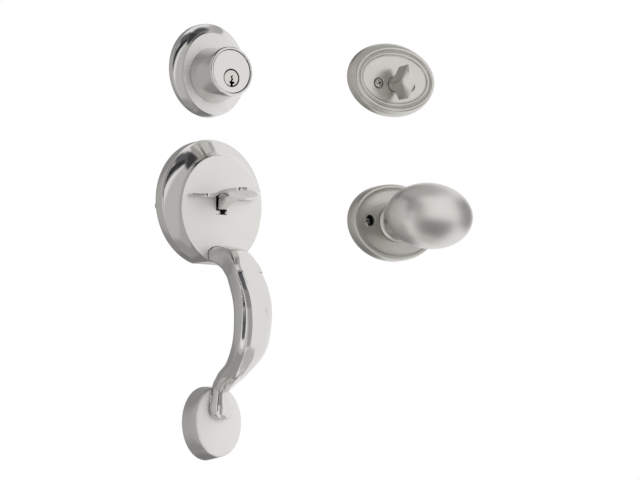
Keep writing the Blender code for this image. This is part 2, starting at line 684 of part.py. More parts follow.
stations = grip_stations()
grip = piece("grip", loft("grip", grip_rings(stations)), latch_axis, SATIN_NICKEL)
tang_rings = []
for z in (grip_root_start, ROSE_DEPTH - GRIP_ROOT_DEPTH / 2):
    tang_rings.append(oval(GRIP_TANG_HALF_WIDTH, GRIP_TANG_HALF_HEIGHT, z, -GRIP_SCREW_DROP, segments=20))
combine(grip, tool("grip_tang", loft("grip_tang", tang_rings), latch_axis), "UNION")
grip_boss = rod("grip_boss", GRIP_BOSS_RADIUS, 0.0040, bulb_depth, 20)
combine(grip, tool("grip_boss", grip_boss, latch_axis, (0.0, -bulb_drop, 0.0)), "UNION")
stud_bore = rod("stud_bore", STUD_RADIUS + CLEARANCE, -CUT_BEYOND, bulb_depth - 0.006, 16)
combine(grip, tool("stud_bore", stud_bore, latch_axis, (0.0, -bulb_drop, 0.0)))
for side in (-1, 1):
    hole = rod("grip_screw_bore", PLATE_SCREW_RADIUS + CLEARANCE, -CUT_BEYOND, PLATE_SCREW_LENGTH + 0.001, 12)
    place = (side * GRIP_SCREW_SPACING, -GRIP_SCREW_DROP, 0.0)
    combine(grip, tool(f"grip_screw_bore_{side}", hole, latch_axis, place))

root = stations[0]
aperture = []
for reach in (root[0] - CLEARANCE, ROSE_DEPTH + GRIP_ROOT_DEPTH):
    points = grip_section(root[2] + CLEARANCE, root[3] + CLEARANCE, root[4] + CLEARANCE, root[5], 0.0)
    aperture.append([(x, -root[1] + n, reach) for x, n in points])
combine(handle_rose, tool("grip_aperture", loft("grip_aperture", aperture), latch_axis))

# Lower rose
lower_axis = assembly("lower_rose_axis", 0.0, -LOWER_ROSE_DROP)


def lower_rings(inset):
    """The tall plain wall, its rounded edge and the shallow dome of the face."""
    width, height = LOWER_HALF_WIDTH - inset, LOWER_HALF_HEIGHT - inset
    taper = LOWER_TAPER
    rings = [
        oval(width, height, 0.0),
        oval(width - taper * 0.15, height - taper * 0.75, LOWER_RIM - LOWER_EDGE - inset * 0.5),
        oval(width - taper * 0.30, height - taper, LOWER_RIM - LOWER_EDGE * 0.3 - inset),
    ]
    for s in (0.96, 0.75, 0.5, 0.25):
        z = LOWER_RIM + LOWER_DOME * (1 - s * s) - inset
        rings.append(oval((width - taper * 0.30) * s, (height - taper) * s, z))
    return rings


lower_rose = piece("lower_rose", loft("lower_rose", lower_rings(0.0)[::-1] + lower_rings(LOWER_WALL)),
                   lower_axis, SATIN_NICKEL)
boss_place = (0.0, LOWER_ROSE_DROP - bulb_drop, 0.0)
boss_hole = rod("boss_hole", GRIP_BOSS_RADIUS + CLEARANCE, LOWER_RIM * 0.5, bulb_depth + CUT_BEYOND, 20)
combine(lower_rose, tool("boss_hole", boss_hole, lower_axis, boss_place))
pocket = loft("grip_pocket", grip_rings(stations, CLEARANCE, leafed=False))
combine(lower_rose, tool("grip_pocket", pocket, latch_axis))
piece("lower_stud", rod("lower_stud", STUD_RADIUS, -STUD_LENGTH + 0.0125, 0.0125, 16),
      latch_axis, ZINC_STEEL, (0.0, -bulb_drop, 0.0))

# Works of the handle, inside the upper rose
pivot_z = ROSE_DEPTH - PIVOT_BEHIND_FACE
cam_bottom = plate_top
cam_top = cam_bottom + CAM_THICKNESS
slide_bottom = cam_top + CLEARANCE
slide_top = slide_bottom + SLIDE_THICKNESS
ear_inside = STEM_HALF_WIDTH + CLEARANCE * 2
ear_outside = ear_inside + EAR_THICKNESS
pin_hole = PIVOT_PIN_RADIUS + CLEARANCE
tab_bottom = -0.0012
tab_top = tab_bottom + SLIDE_THICKNESS
spring_bottom = SLIDE_TOP + CLEARANCE
spring_top = spring_bottom + SPRING_ROOM
spring_centre = plate_top + SPRING_RADIUS + SPRING_WIRE

inner_edge = ROSE_WALL + CLEARANCE
plate_half_width, plate_half_height = ROSE_HALF_WIDTH - inner_edge, ROSE_HALF_HEIGHT - inner_edge
plate_outline = footed_arc(plate_half_width, plate_half_height, 0.0, ROSE_FOOT - inner_edge, 37)
back_plate = piece("handle_back_plate", flat("handle_back_plate", [plate_outline], 0.0, BACK_PLATE),
                   latch_axis, ZINC_STEEL)
ear_profile = [
    (-PIVOT_DROP - EAR_RADIUS, BACK_PLATE / 2), (-PIVOT_DROP, BACK_PLATE / 2),
    (-PIVOT_DROP, slide_top + 0.0008), (-PIVOT_DROP + EAR_RADIUS, pivot_z - EAR_RADIUS),
    (-PIVOT_DROP + EAR_RADIUS, pivot_z + EAR_RADIUS * 0.7),
    (-PIVOT_DROP - EAR_RADIUS, pivot_z + EAR_RADIUS * 0.7),
]
for side in (-1, 1):
    low, high = sorted((side * ear_inside, side * ear_outside))
    ear = sideways(flat("pivot_ear", [ear_profile], low, high))
    combine(back_plate, tool(f"pivot_ear_{side}", ear, latch_axis), "UNION")
spring_lug = box("spring_lug", (-0.004, 0.004), (spring_top + CLEARANCE, spring_top + CLEARANCE + BACK_PLATE),
                 (BACK_PLATE / 2, spring_centre + SPRING_RADIUS))
combine(back_plate, tool("spring_lug", spring_lug, latch_axis), "UNION")
ear_hole = cross_rod("ear_hole", pin_hole, ear_outside + 0.002)
combine(back_plate, tool("ear_hole", ear_hole, latch_axis, (0.0, -PIVOT_DROP, pivot_z)))
spindle_hole = math.hypot(SPINDLE_SIZE, SPINDLE_SIZE) / 2 + CLEARANCE
for name, radius, x, y in (
        ("plate_spindle_hole", spindle_hole, 0.0, 0.0),
        ("plate_post_hole_left", POST_RADIUS + CLEARANCE, -POST_SPACING, 0.0),
        ("plate_post_hole_right", POST_RADIUS + CLEARANCE, POST_SPACING, 0.0)):
    hole = rod(name, radius, -CUT_BEYOND, plate_top + 0.002, 20)
    combine(back_plate, tool(name, hole, latch_axis, (x, y, 0.0)))
fixings = [(f"plate_screw_{count}", x, y) for count, (x, y) in enumerate(ROSE_BOSS_PLACES, start=1)]
fixings += [("grip_screw_left", -GRIP_SCREW_SPACING, -GRIP_SCREW_DROP),
            ("grip_screw_right", GRIP_SCREW_SPACING, -GRIP_SCREW_DROP)]
for name, x, y in fixings:
    combine(back_plate, flat_screw_hole(f"{name}_hole", latch_axis, x, y))
    flat_screw(name, latch_axis, x, y, PLATE_SCREW_LENGTH)

for name, side in (("mounting_post_left", -1), ("mounting_post_right", 1)):
    flange = plate_top + 0.0016
    piece(name, revolved(name, [
        (0.0, flange), (POST_RADIUS + 0.0020, flange),
        (POST_RADIUS + 0.0020, plate_top), (POST_RADIUS, plate_top),
        (POST_RADIUS, -POST_LENGTH), (POST_BORE, -POST_LENGTH), (POST_BORE, -0.006), (0.0, -0.006)], 20),
        latch_axis, ZINC_STEEL, (side * POST_SPACING, 0.0, 0.0))

pin_reach = ear_outside + 0.0010
pin = cross_rod("thumb_pivot_pin", PIVOT_PIN_RADIUS, pin_reach)
piece("thumb_pivot_pin", pin, latch_axis, ZINC_STEEL, (0.0, -PIVOT_DROP, pivot_z))

# Latch cam and its spindle
arm_foot = 0.0
cam = piece("latch_cam", rod("latch_cam", CAM_HUB_RADIUS, cam_bottom, cam_top, 24), latch_axis, ZINC_STEEL)
arm = box("cam_arm", (0.0, CAM_ARM_REACH), (arm_foot, arm_foot + CAM_ARM_WIDTH), (cam_bottom, cam_top))
combine(cam, tool("cam_arm", arm, latch_axis), "UNION")
half_socket = SPINDLE_SIZE / 2 + CLEARANCE
socket = box("cam_socket", (-half_socket, half_socket), (-half_socket, half_socket), (0.0, cam_top - 0.0006))
combine(cam, tool("cam_socket", socket, latch_axis))
half_spindle = SPINDLE_SIZE / 2
spindle_front = cam_top - 0.0006 - CLEARANCE
spindle = box("latch_spindle", (-half_spindle, half_spindle), (-half_spindle, half_spindle),
              (-SPINDLE_LENGTH, spindle_front))
piece("latch_spindle", spindle, latch_axis, ZINC_STEEL)
circlip = revolved("latch_circlip", [
    (spindle_hole - CLEARANCE + 0.0001, -0.0003), (spindle_hole + 0.0014, -0.0003),
    (spindle_hole + 0.0014, -0.0013), (spindle_hole - CLEARANCE + 0.0001, -0.0013)], 24)
piece("latch_circlip", circlip, latch_axis, SPRING_STEEL)

# Lift slide, which the thumbpiece's tail pushes up and whose finger lifts the cam's arm
slide_slot = SLIDE_TOP * 0.23, SLIDE_TOP * 0.90
rivet_low, rivet_high = SLIDE_TOP * 0.475, SLIDE_TOP * 0.775
rivet_radius = 0.0015
slot_half = rivet_radius + CLEARANCE
slide_outline = [(-SLIDE_HALF_WIDTH, tab_bottom), (SLIDE_HALF_WIDTH, tab_bottom),
                 (SLIDE_HALF_WIDTH, SLIDE_TOP), (-SLIDE_HALF_WIDTH, SLIDE_TOP)]
slide_window = [(-slot_half, slide_slot[0]), (slot_half, slide_slot[0]),
                (slot_half, slide_slot[1]), (-slot_half, slide_slot[1])]
slide = piece("lift_slide", flat("lift_slide", [slide_outline, slide_window], slide_bottom, slide_top),
              latch_axis, ZINC_STEEL)
tab = box("slide_tab", (-STEM_HALF_WIDTH, STEM_HALF_WIDTH), (tab_bottom, tab_top),
          (slide_bottom + 0.0004, slide_top + SLIDE_TAB_REACH))
combine(slide, tool("slide_tab", tab, latch_axis), "UNION")
finger_near = CAM_HUB_RADIUS + CLEARANCE
finger_top = arm_foot - CLEARANCE
finger = box("slide_finger", (finger_near, finger_near + 0.0014), (finger_top - 0.0018, finger_top),
             (cam_bottom + CLEARANCE, slide_top - 0.0004))
combine(slide, tool("slide_finger", finger, latch_axis), "UNION")
for name, y in (("slide_rivet_lower", rivet_low), ("slide_rivet_upper", rivet_high)):
    head = slide_top + CLEARANCE
    piece(name, revolved(name, [
        (0.0, head + 0.0010), (rivet_radius + 0.0010, head + 0.0004), (rivet_radius + 0.0010, head),
        (rivet_radius, head), (rivet_radius, plate_top), (0.0, plate_top)], 14),
        latch_axis, ZINC_STEEL, (0.0, y, 0.0))

coil_turns, coil_points = 5, 8
coil = []
for k in range(coil_turns * coil_points + 1):
    angle = 2 * math.pi * k / coil_points
    height = spring_bottom + SPRING_WIRE + (SPRING_ROOM - 2 * SPRING_WIRE) * k / (coil_turns * coil_points)
    coil.append((SPRING_RADIUS * math.cos(angle), height, spring_centre + SPRING_RADIUS * math.sin(angle)))
spring_wire("lift_spring", coil, SPRING_WIRE, latch_axis, SPRING_STEEL)

# Thumbpiece
plate_bottom = THUMB_PLATE_HEIGHT
wing_back = ROSE_DEPTH + 0.0014


def thumb_outline():
    """Half of the bird-wing plan, then its mirror image, as (sideways, reach) points."""
    tongue_centre = ROSE_DEPTH + TONGUE_REACH - TONGUE_HALF_LENGTH
    w = WING_SPAN
    half = [
        (0.42 * w, wing_back), (0.76 * w, wing_back + 0.0003), (0.98 * w, wing_back + 0.0008),
        (1.00 * w, wing_back + 0.0016), (0.97 * w, wing_back + 0.0025), (0.76 * w, wing_back + 0.0044),
        (0.58 * w, wing_back + 0.0072), (0.50 * w, wing_back + 0.0106),
    ]
    first, last = math.radians(-32), math.radians(90)
    for k in range(10):
        angle = first + (last - first) * k / 10
        reach = tongue_centre + TONGUE_HALF_LENGTH * math.sin(angle)
        half.append((TONGUE_HALF_WIDTH * math.cos(angle), reach))
    front = (0.0, tongue_centre + TONGUE_HALF_LENGTH)
    return half + [front] + [(-x, z) for x, z in reversed(half)]


thumb_plate = flat("thumbpiece", [thumb_outline()], 0.0, THUMB_PLATE_THICKNESS)
to_plan = Matrix(((1, 0, 0, 0), (0, 0, 1, plate_bottom), (0, 1, 0, 0), (0, 0, 0, 1)))
thumb_plate.transform(to_plan)
settle = bmesh.new()
settle.from_mesh(thumb_plate)
bmesh.ops.recalc_face_normals(settle, faces=settle.faces)
settle.to_mesh(thumb_plate)
settle.free()
pivot_place = Vector((0.0, -PIVOT_DROP, pivot_z))
thumb_plate.transform(Matrix.Translation(-pivot_place))
thumbpiece = piece("thumbpiece", thumb_plate, latch_axis, SATIN_NICKEL, pivot_place)


def block_ring(half_width, bottom, top, z, power=4.0, count=20):
    """A rounded rectangle across the stem."""
    ring = []
    for i in range(count):
        angle = 2 * math.pi * (i + 0.5) / count
        x = half_width * math.copysign(abs(math.cos(angle)) ** (2 / power), math.cos(angle))
        y = (top - bottom) / 2 * math.copysign(abs(math.sin(angle)) ** (2 / power), math.sin(angle))
        ring.append((x, y + (top + bottom) / 2, z))
    return ring


plate_middle = plate_bottom + THUMB_PLATE_THICKNESS / 2
gusset = [
    block_ring(STEM_HALF_WIDTH, -STEM_BOTTOM, plate_middle, pivot_z + 0.0010),
    block_ring(STEM_HALF_WIDTH, -STEM_BOTTOM, plate_middle, ROSE_DEPTH + 0.0022),
]
for t in (0.25, 0.5, 0.75, 1.0):
    reach = 0.0022 + 0.55 * TONGUE_REACH * t
    bottom = -STEM_BOTTOM + (plate_middle + STEM_BOTTOM - 0.0016) * (1 - (1 - t) ** 2.2)
    half = STEM_HALF_WIDTH + (TONGUE_HALF_WIDTH * 0.62 - STEM_HALF_WIDTH) * t ** 1.5
    gusset.append(block_ring(half, bottom, plate_middle, ROSE_DEPTH + reach, 3.0))
combine(thumbpiece, tool("thumb_gusset", loft("thumb_gusset", gusset), latch_axis), "UNION")
tail_reach = slide_top + CLEARANCE * 1.5
tail_top = tab_bottom - CLEARANCE
tail_profile = [
    (-PIVOT_DROP - PIVOT_BOSS_RADIUS * 0.9, pivot_z + 0.0020), (-PIVOT_DROP - PIVOT_BOSS_RADIUS, pivot_z),
    (-PIVOT_DROP - PIVOT_BOSS_RADIUS * 0.7, pivot_z - PIVOT_BOSS_RADIUS * 0.9),
    (tail_top - 0.0034, tail_reach), (tail_top, tail_reach), (tail_top, tail_reach + 0.0030),
    (tail_top - 0.0010, pivot_z), (tail_top - 0.0010, pivot_z + 0.0020),
]
tail = sideways(flat("thumb_tail", [tail_profile], -STEM_HALF_WIDTH + 0.0001, STEM_HALF_WIDTH - 0.0001))
combine(thumbpiece, tool("thumb_tail", tail, latch_axis), "UNION")
boss_hole = cross_rod("thumb_pin_hole", pin_hole, STEM_HALF_WIDTH + 0.002)
combine(thumbpiece, tool("thumb_pin_hole", boss_hole, latch_axis, pivot_place))

# Interior thumbturn
thumbturn_axis = assembly("thumbturn_axis", INTERIOR_COLUMN, THUMBTURN_HEIGHT)
stem_hole = TURN_STEM_RADIUS + CLEARANCE
field = TURN_PLATE_FIELD


def turn_plate_ring(inset, z):
    return oval(TURN_PLATE_HALF_WIDTH - inset, TURN_PLATE_HALF_HEIGHT - inset, z, TURN_PLATE_RISE)


# Insets and heights run over the flared wall, the outer bead, a groove, the inner bead and a groove.
bead_profile = [
    (0.0, 0.0), (0.0006, field - 0.0045), (0.0022, field - 0.0010), (0.0034, field + 0.0009),
    (0.0050, field + 0.0016), (0.0066, field + 0.0008), (0.0073, field - 0.0002), (0.0081, field + 0.0008),
    (0.0097, field + 0.0008), (0.0105, field - 0.0002), (0.0112, field),
]
wall = TURN_PLATE_WALL
rings = [turn_plate_ring(inset, z) for inset, z in bead_profile]
rings.append(oval(stem_hole, stem_hole, field))
rings.append(oval(stem_hole, stem_hole, field - wall))
rings.append(turn_plate_ring(0.0050, field - wall))
rings.append(turn_plate_ring(0.0022 + wall, field - 0.0010 - wall))
rings.append(turn_plate_ring(wall, 0.0))
thumbturn_plate = piece("thumbturn_plate", loft("thumbturn_plate", rings, closed=True),
                        thumbturn_axis, BRUSHED_NICKEL)
screw_window = SCREW_HEAD_RADIUS + 0.0009
bracket_top = field - wall - CLEARANCE
bracket_bottom = bracket_top - TURN_BRACKET_THICKNESS
bracket = piece("thumbturn_bracket", revolved("thumbturn_bracket", [
    (stem_hole, bracket_top), (TURN_BRACKET_RADIUS, bracket_top), (TURN_BRACKET_RADIUS, 0.0),
    (TURN_BRACKET_RADIUS - wall, 0.0), (TURN_BRACKET_RADIUS - wall, bracket_bottom),
    (stem_hole, bracket_bottom)], 28), thumbturn_axis, ZINC_STEEL)
for name, side in (("left", -1), ("right", 1)):
    place = (side * BOLT_SCREW_SPACING, 0.0, 0.0)
    window = rod("turn_screw_window", screw_window, bracket_top + 0.0001, field + CUT_BEYOND, 24)
    combine(thumbturn_plate, tool(f"turn_screw_window_{name}", window, thumbturn_axis, place))
    hole = rod("turn_screw_hole", SCREW_SHANK_RADIUS + CLEARANCE, -CUT_BEYOND, field, 16)
    combine(bracket, tool(f"turn_screw_hole_{name}", hole, thumbturn_axis, place))
    pan_screw(f"thumbturn_screw_{name}", thumbturn_axis, place[0], 0.0, bracket_top + CLEARANCE,
              TURN_SCREW_LENGTH)


def rhombus_ring(half_width, half_height, z, crease=0.0):
    """Sixteen points round a diamond whose side corners stand up by the crease."""
    corners = [(half_width, 0.0), (0.0, half_height), (-half_width, 0.0), (0.0, -half_height)]
    ring = []
    for (x0, y0), (x1, y1) in zip(corners, corners[1:] + corners[:1]):
        for k in range(4):
            t = k / 4
            x, y = x0 + (x1 - x0) * t, y0 + (y1 - y0) * t
            ring.append((x, y, z + crease * (1 - abs(y) / half_height)))
    return ring


def round_ring(radius, z):
    return oval(radius, radius, z, segments=16)


clip_room = 0.0032
stem_start = bracket_bottom - clip_room
body_back = TURN_REACH - TURN_BODY_LENGTH
turn_bore = TURN_SHAFT_RADIUS + CLEARANCE
bore_end = body_back + 0.0010
turn_rings = [
    round_ring(turn_bore, bore_end),
    round_ring(turn_bore, stem_start),
    round_ring(TURN_STEM_RADIUS, stem_start),
    round_ring(TURN_STEM_RADIUS, body_back - 0.0022),
    rhombus_ring(0.80 * TURN_HALF_WIDTH + 0.0015, 0.66 * TURN_HALF_HEIGHT, body_back - 0.0004),
    rhombus_ring(0.97 * TURN_HALF_WIDTH, 0.95 * TURN_HALF_HEIGHT, body_back + 0.0022),
    rhombus_ring(TURN_HALF_WIDTH, TURN_HALF_HEIGHT, TURN_REACH - 0.0022, 0.0010),
    rhombus_ring(0.95 * TURN_HALF_WIDTH, 0.965 * TURN_HALF_HEIGHT, TURN_REACH - 0.0013, 0.0012),
    rhombus_ring(0.50 * TURN_HALF_WIDTH, 0.50 * TURN_HALF_HEIGHT, TURN_REACH - 0.0007, 0.0007),
]
piece("turn_piece", loft("turn_piece", turn_rings), thumbturn_axis, BRUSHED_NICKEL)
shaft_front = bore_end - CLEARANCE
turn_shaft = piece("turn_shaft", rod("turn_shaft", TURN_SHAFT_RADIUS, shaft_front - TURN_SHAFT_LENGTH,
                                     shaft_front, 24), thumbturn_axis, ZINC_STEEL)
tail_slot = box("tail_slot", (-0.0011, 0.0011), (-0.0030, 0.0030),
                (shaft_front - TURN_SHAFT_LENGTH - 0.001, shaft_front - 0.007))
combine(turn_shaft, tool("tail_slot", tail_slot, thumbturn_axis))
washer_top = bracket_bottom - CLEARANCE
for name, thickness, top, finish in (
        ("turn_washer", 0.0007, washer_top, SPRING_STEEL),
        ("turn_clip", 0.0010, washer_top - 0.0007 - CLEARANCE, SPRING_STEEL)):
    piece(name, revolved(name, [
        (stem_hole, top), (stem_hole + 0.0032, top), (stem_hole + 0.0032, top - thickness),
        (stem_hole, top - thickness)], 20), thumbturn_axis, finish)

# Interior knob
knob_axis = assembly("knob_axis", INTERIOR_COLUMN, KNOB_HEIGHT)
sleeve_hole = NECK_SLEEVE_RADIUS + CLEARANCE
lip, dish = KNOB_ROSE_LIP, KNOB_ROSE_FIELD


def knob_rose_ring(inset, z):
    return oval(KNOB_ROSE_HALF_WIDTH - inset, KNOB_ROSE_HALF_HEIGHT - inset, z)


lip_profile = [
    (0.0, 0.0), (0.0002, lip - 0.0030), (0.0007, lip - 0.0010), (0.0016, lip - 0.0001), (0.0026, lip),
    (0.0034, lip - 0.0005), (0.0039, dish - 0.0003), (0.0080, dish - 0.0004), (0.0140, dish),
]
wall = KNOB_ROSE_WALL
rings = [knob_rose_ring(inset, z) for inset, z in lip_profile]
rings.append(oval(sleeve_hole, sleeve_hole, dish))
rings.append(oval(sleeve_hole, sleeve_hole, dish - wall))
rings.append(knob_rose_ring(0.0140, dish - wall))
rings.append(knob_rose_ring(0.0039 + wall * 0.5, dish - 0.0003 - wall))
rings.append(knob_rose_ring(wall, dish - 0.0012 - wall))
rings.append(knob_rose_ring(wall, 0.0))
knob_rose = piece("knob_rose", loft("knob_rose", rings, closed=True), knob_axis, BRUSHED_NICKEL)

spindle_reach = math.hypot(KNOB_SPINDLE_SIZE, KNOB_SPINDLE_SIZE) / 2
spindle_bore = spindle_reach + CLEARANCE
base_outline = [(x, y) for x, y, _ in oval(KNOB_ROSE_HALF_WIDTH - wall - CLEARANCE,
                                           KNOB_ROSE_HALF_HEIGHT - wall - CLEARANCE, 0.0, segments=40)]
base_bore = [(x, y) for x, y, _ in oval(spindle_bore, spindle_bore, 0.0, segments=20)]
base_plate = flat("knob_base_plate", [base_outline, base_bore], 0.0, KNOB_BASE_PLATE)
base_plate = piece("knob_base_plate", base_plate, knob_axis, ZINC_STEEL)
spring_level = KNOB_BASE_PLATE + CLEARANCE + KNOB_SPRING_WIRE
drive_bottom = spring_level + KNOB_SPRING_WIRE + CLEARANCE
drive_top = drive_bottom + DRIVE_PLATE
for name, side in (("left", -1), ("right", 1)):
    place = (side * POST_SPACING, 0.0, 0.0)
    window = rod("knob_screw_window", screw_window - 0.0004, KNOB_BASE_PLATE + 0.0001, lip + CUT_BEYOND, 24)
    combine(knob_rose, tool(f"knob_screw_window_{name}", window, knob_axis, place))
    hole = rod("knob_screw_hole", SCREW_SHANK_RADIUS + CLEARANCE, -CUT_BEYOND, lip, 16)
    combine(base_plate, tool(f"knob_screw_hole_{name}", hole, knob_axis, place))
    pan_screw(f"knob_screw_{name}", knob_axis, place[0], 0.0, KNOB_BASE_PLATE + CLEARANCE, KNOB_SCREW_LENGTH)

arc = []
for k in range(25):
    angle = math.radians(-75 + 330 * k / 24)
    arc.append((KNOB_SPRING_RADIUS * math.cos(angle), KNOB_SPRING_RADIUS * math.sin(angle), spring_level))
spring_wire("knob_return_spring", arc, KNOB_SPRING_WIRE, knob_axis, SPRING_STEEL)

half_hole = KNOB_SPINDLE_SIZE / 2 + CLEARANCE
square_hole = [(-half_hole, -half_hole), (half_hole, -half_hole),
               (half_hole, half_hole), (-half_hole, half_hole)]
drive_outline = [(x, y) for x, y, _ in oval(DRIVE_PLATE_RADIUS, DRIVE_PLATE_RADIUS, 0.0, segments=32)]
piece("knob_drive_plate", flat("knob_drive_plate", [drive_outline, square_hole], drive_bottom, drive_top),
      knob_axis, ZINC_STEEL)

half_spindle = KNOB_SPINDLE_SIZE / 2
knob_spindle = box("knob_spindle", (-half_spindle, half_spindle), (-half_spindle, half_spindle),
                   (-KNOB_SPINDLE_TAIL, KNOB_SPINDLE_LENGTH - KNOB_SPINDLE_TAIL))
piece("knob_spindle", knob_spindle, knob_axis, ZINC_STEEL)
piece("knob_circlip", revolved("knob_circlip", [
    (spindle_reach + 0.0001, -CLEARANCE), (spindle_reach + 0.0022, -CLEARANCE),
    (spindle_reach + 0.0022, -CLEARANCE - 0.0010), (spindle_reach + 0.0001, -CLEARANCE - 0.0010)], 24),
    knob_axis, SPRING_STEEL)

flange_seat = dish + CLEARANCE
knob_back = KNOB_CENTRE - KNOB_HALF_DEPTH
neck_bore = spindle_bore
bore_depth = KNOB_SPINDLE_LENGTH - KNOB_SPINDLE_TAIL + 0.0010
neck_end = knob_back + NECK_GRIP


def neck_profile():
    """Sleeve through the rose, flange, cove and the stub that carries the knob."""
    points = [(neck_bore, drive_top + CLEARANCE), (NECK_SLEEVE_RADIUS, drive_top + CLEARANCE),
              (NECK_SLEEVE_RADIUS, flange_seat), (NECK_FLANGE_RADIUS, flange_seat),
              (NECK_FLANGE_RADIUS, flange_seat + 0.0016)]
    rise = knob_back - flange_seat - 0.0016
    for t in (0.15, 0.40, 0.72):
        radius = NECK_RADIUS + (NECK_FLANGE_RADIUS - 0.0012 - NECK_RADIUS) * (1 - t) ** 2.4
        points.append((radius, flange_seat + 0.0016 + rise * t))
    points += [(NECK_RADIUS, neck_end), (0.0, neck_end), (0.0, bore_depth), (neck_bore, bore_depth)]
    return points


piece("knob_neck", revolved("knob_neck", neck_profile(), 28), knob_axis, BRUSHED_NICKEL)


def egg_ring(angle, inset=0.0):
    """A ring of the egg at an angle from its front pole."""
    s = math.sin(angle)
    width, height, depth = KNOB_HALF_WIDTH - inset, KNOB_HALF_HEIGHT - inset, KNOB_HALF_DEPTH - inset
    return oval(width * s, height * s, KNOB_CENTRE + depth * math.cos(angle), segments=36)


def collar_ring(radius, z):
    return oval(radius, radius, z, segments=36)


collar = NECK_RADIUS + CLEARANCE
steps = [math.radians(d) for d in (10, 25, 40, 55, 69, 83, 97, 111, 125, 139)]
inner_steps = [math.radians(d) for d in (132, 95, 58, 21)]
egg = [egg_ring(angle) for angle in steps]
egg.append(collar_ring(collar + 0.0018, knob_back + 0.0012))
egg.append(collar_ring(collar, knob_back + 0.0006))
egg.append(collar_ring(collar, knob_back + 0.0030))
egg += [egg_ring(angle, KNOB_WALL) for angle in inner_steps]
piece("knob_shell", loft("knob_shell", egg), knob_axis, BRUSHED_NICKEL)
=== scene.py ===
# Entrance door handleset in satin nickel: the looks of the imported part, in its frame.
# Metres, +Z up. The door's face is Y = 0 and every piece stands out towards -Y.
import bpy
import bmesh
import math
from mathutils import Matrix, Vector


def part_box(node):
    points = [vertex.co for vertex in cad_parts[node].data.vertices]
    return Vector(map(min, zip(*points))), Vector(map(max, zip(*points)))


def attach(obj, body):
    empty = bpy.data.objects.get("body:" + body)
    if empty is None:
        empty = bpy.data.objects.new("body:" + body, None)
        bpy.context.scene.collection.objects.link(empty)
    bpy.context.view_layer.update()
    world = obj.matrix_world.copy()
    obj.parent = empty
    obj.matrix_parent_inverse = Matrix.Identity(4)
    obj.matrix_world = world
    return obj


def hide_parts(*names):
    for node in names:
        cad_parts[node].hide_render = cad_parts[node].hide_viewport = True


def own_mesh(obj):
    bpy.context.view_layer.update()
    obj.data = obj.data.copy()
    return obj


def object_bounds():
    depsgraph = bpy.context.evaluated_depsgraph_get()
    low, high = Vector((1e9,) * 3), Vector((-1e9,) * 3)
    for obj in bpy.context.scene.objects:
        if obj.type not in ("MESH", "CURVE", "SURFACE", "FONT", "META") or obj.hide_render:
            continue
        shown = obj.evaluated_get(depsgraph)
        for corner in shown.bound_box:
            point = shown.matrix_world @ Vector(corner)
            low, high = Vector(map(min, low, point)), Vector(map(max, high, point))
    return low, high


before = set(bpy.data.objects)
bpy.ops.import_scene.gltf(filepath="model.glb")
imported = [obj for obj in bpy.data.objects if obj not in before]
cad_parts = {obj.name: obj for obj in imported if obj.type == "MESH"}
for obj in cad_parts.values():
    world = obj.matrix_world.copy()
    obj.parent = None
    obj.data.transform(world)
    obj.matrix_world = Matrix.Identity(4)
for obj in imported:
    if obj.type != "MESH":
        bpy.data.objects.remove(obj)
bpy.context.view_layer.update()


# Camera
# A very long lens from far off, as in a catalogue picture: to the left of the set and a
# little below it, so that the left walls and the undersides of the pieces show.
VIEW_AZIMUTH = -33
VIEW_ELEVATION = -7
VIEW_CENTRE = Vector((0.0928, -0.0196, -0.0240))
VIEW_DISTANCE = 4.160
LENS_MM = 300.0
into_scene = bpy.context.scene.collection.objects.link


def direction(azimuth, elevation):
    """The way to an azimuth and an elevation in degrees. 0, 0 is straight in front, 90, 0 to the right."""
    a, e = math.radians(azimuth), math.radians(elevation)
    return Vector((math.sin(a) * math.cos(e), -math.cos(a) * math.cos(e), math.sin(e)))


towards_camera = direction(VIEW_AZIMUTH, VIEW_ELEVATION)
camera_data = bpy.data.cameras.new("product_camera")
camera_data.lens = LENS_MM
camera_data.sensor_width = 36.0
camera_data.clip_start = 0.05
camera_data.clip_end = 20.0
camera = bpy.data.objects.new("product_camera", camera_data)
camera.location = VIEW_CENTRE + VIEW_DISTANCE * towards_camera
camera.rotation_euler = (-towards_camera).to_track_quat("-Z", "Y").to_euler()
into_scene(camera)
bpy.context.scene.camera = camera
bpy.context.scene.view_settings.view_transform = "Standard"


# Studio
# A pale paper floor a metre below the set, and a white room with soft light from all
# sides. The camera sees the room as white paper.
def from_hex(colour):
    """sRGB hex to linear RGBA."""
    channels = [int(colour[i:i + 2], 16) / 255 for i in (1, 3, 5)]
    linear = [c / 12.92 if c <= 0.04045 else ((c + 0.055) / 1.055) ** 2.4 for c in channels]
    return (*linear, 1.0)


def set_inputs(tree, node, inputs):
    """Sets inputs to values, or links them from sockets. A node stands for its first output."""
    for name, value in inputs.items():
        if isinstance(value, bpy.types.Node):
            value = value.outputs[0]
        if isinstance(value, bpy.types.NodeSocket):
            tree.links.new(value, node.inputs[name])
        else:
            node.inputs[name].default_value = value


def add_node(tree, kind, inputs=None, **settings):
    """Adds a node with its settings and inputs."""
    node = tree.nodes.new(kind)
    for name, value in settings.items():
        setattr(node, name, value)
    set_inputs(tree, node, inputs or {})
    return node


FLOOR_DROP = 1.00
FLOOR_HALF_SIZE = 4.0
SQUARE = [(-1.0, -1.0), (1.0, -1.0), (1.0, 1.0), (-1.0, 1.0)]
FLOOR_WHITE = "#f2f1ef"
ROOM_LIGHT = 0.90
WHITE = (1.0, 1.0, 1.0, 1.0)

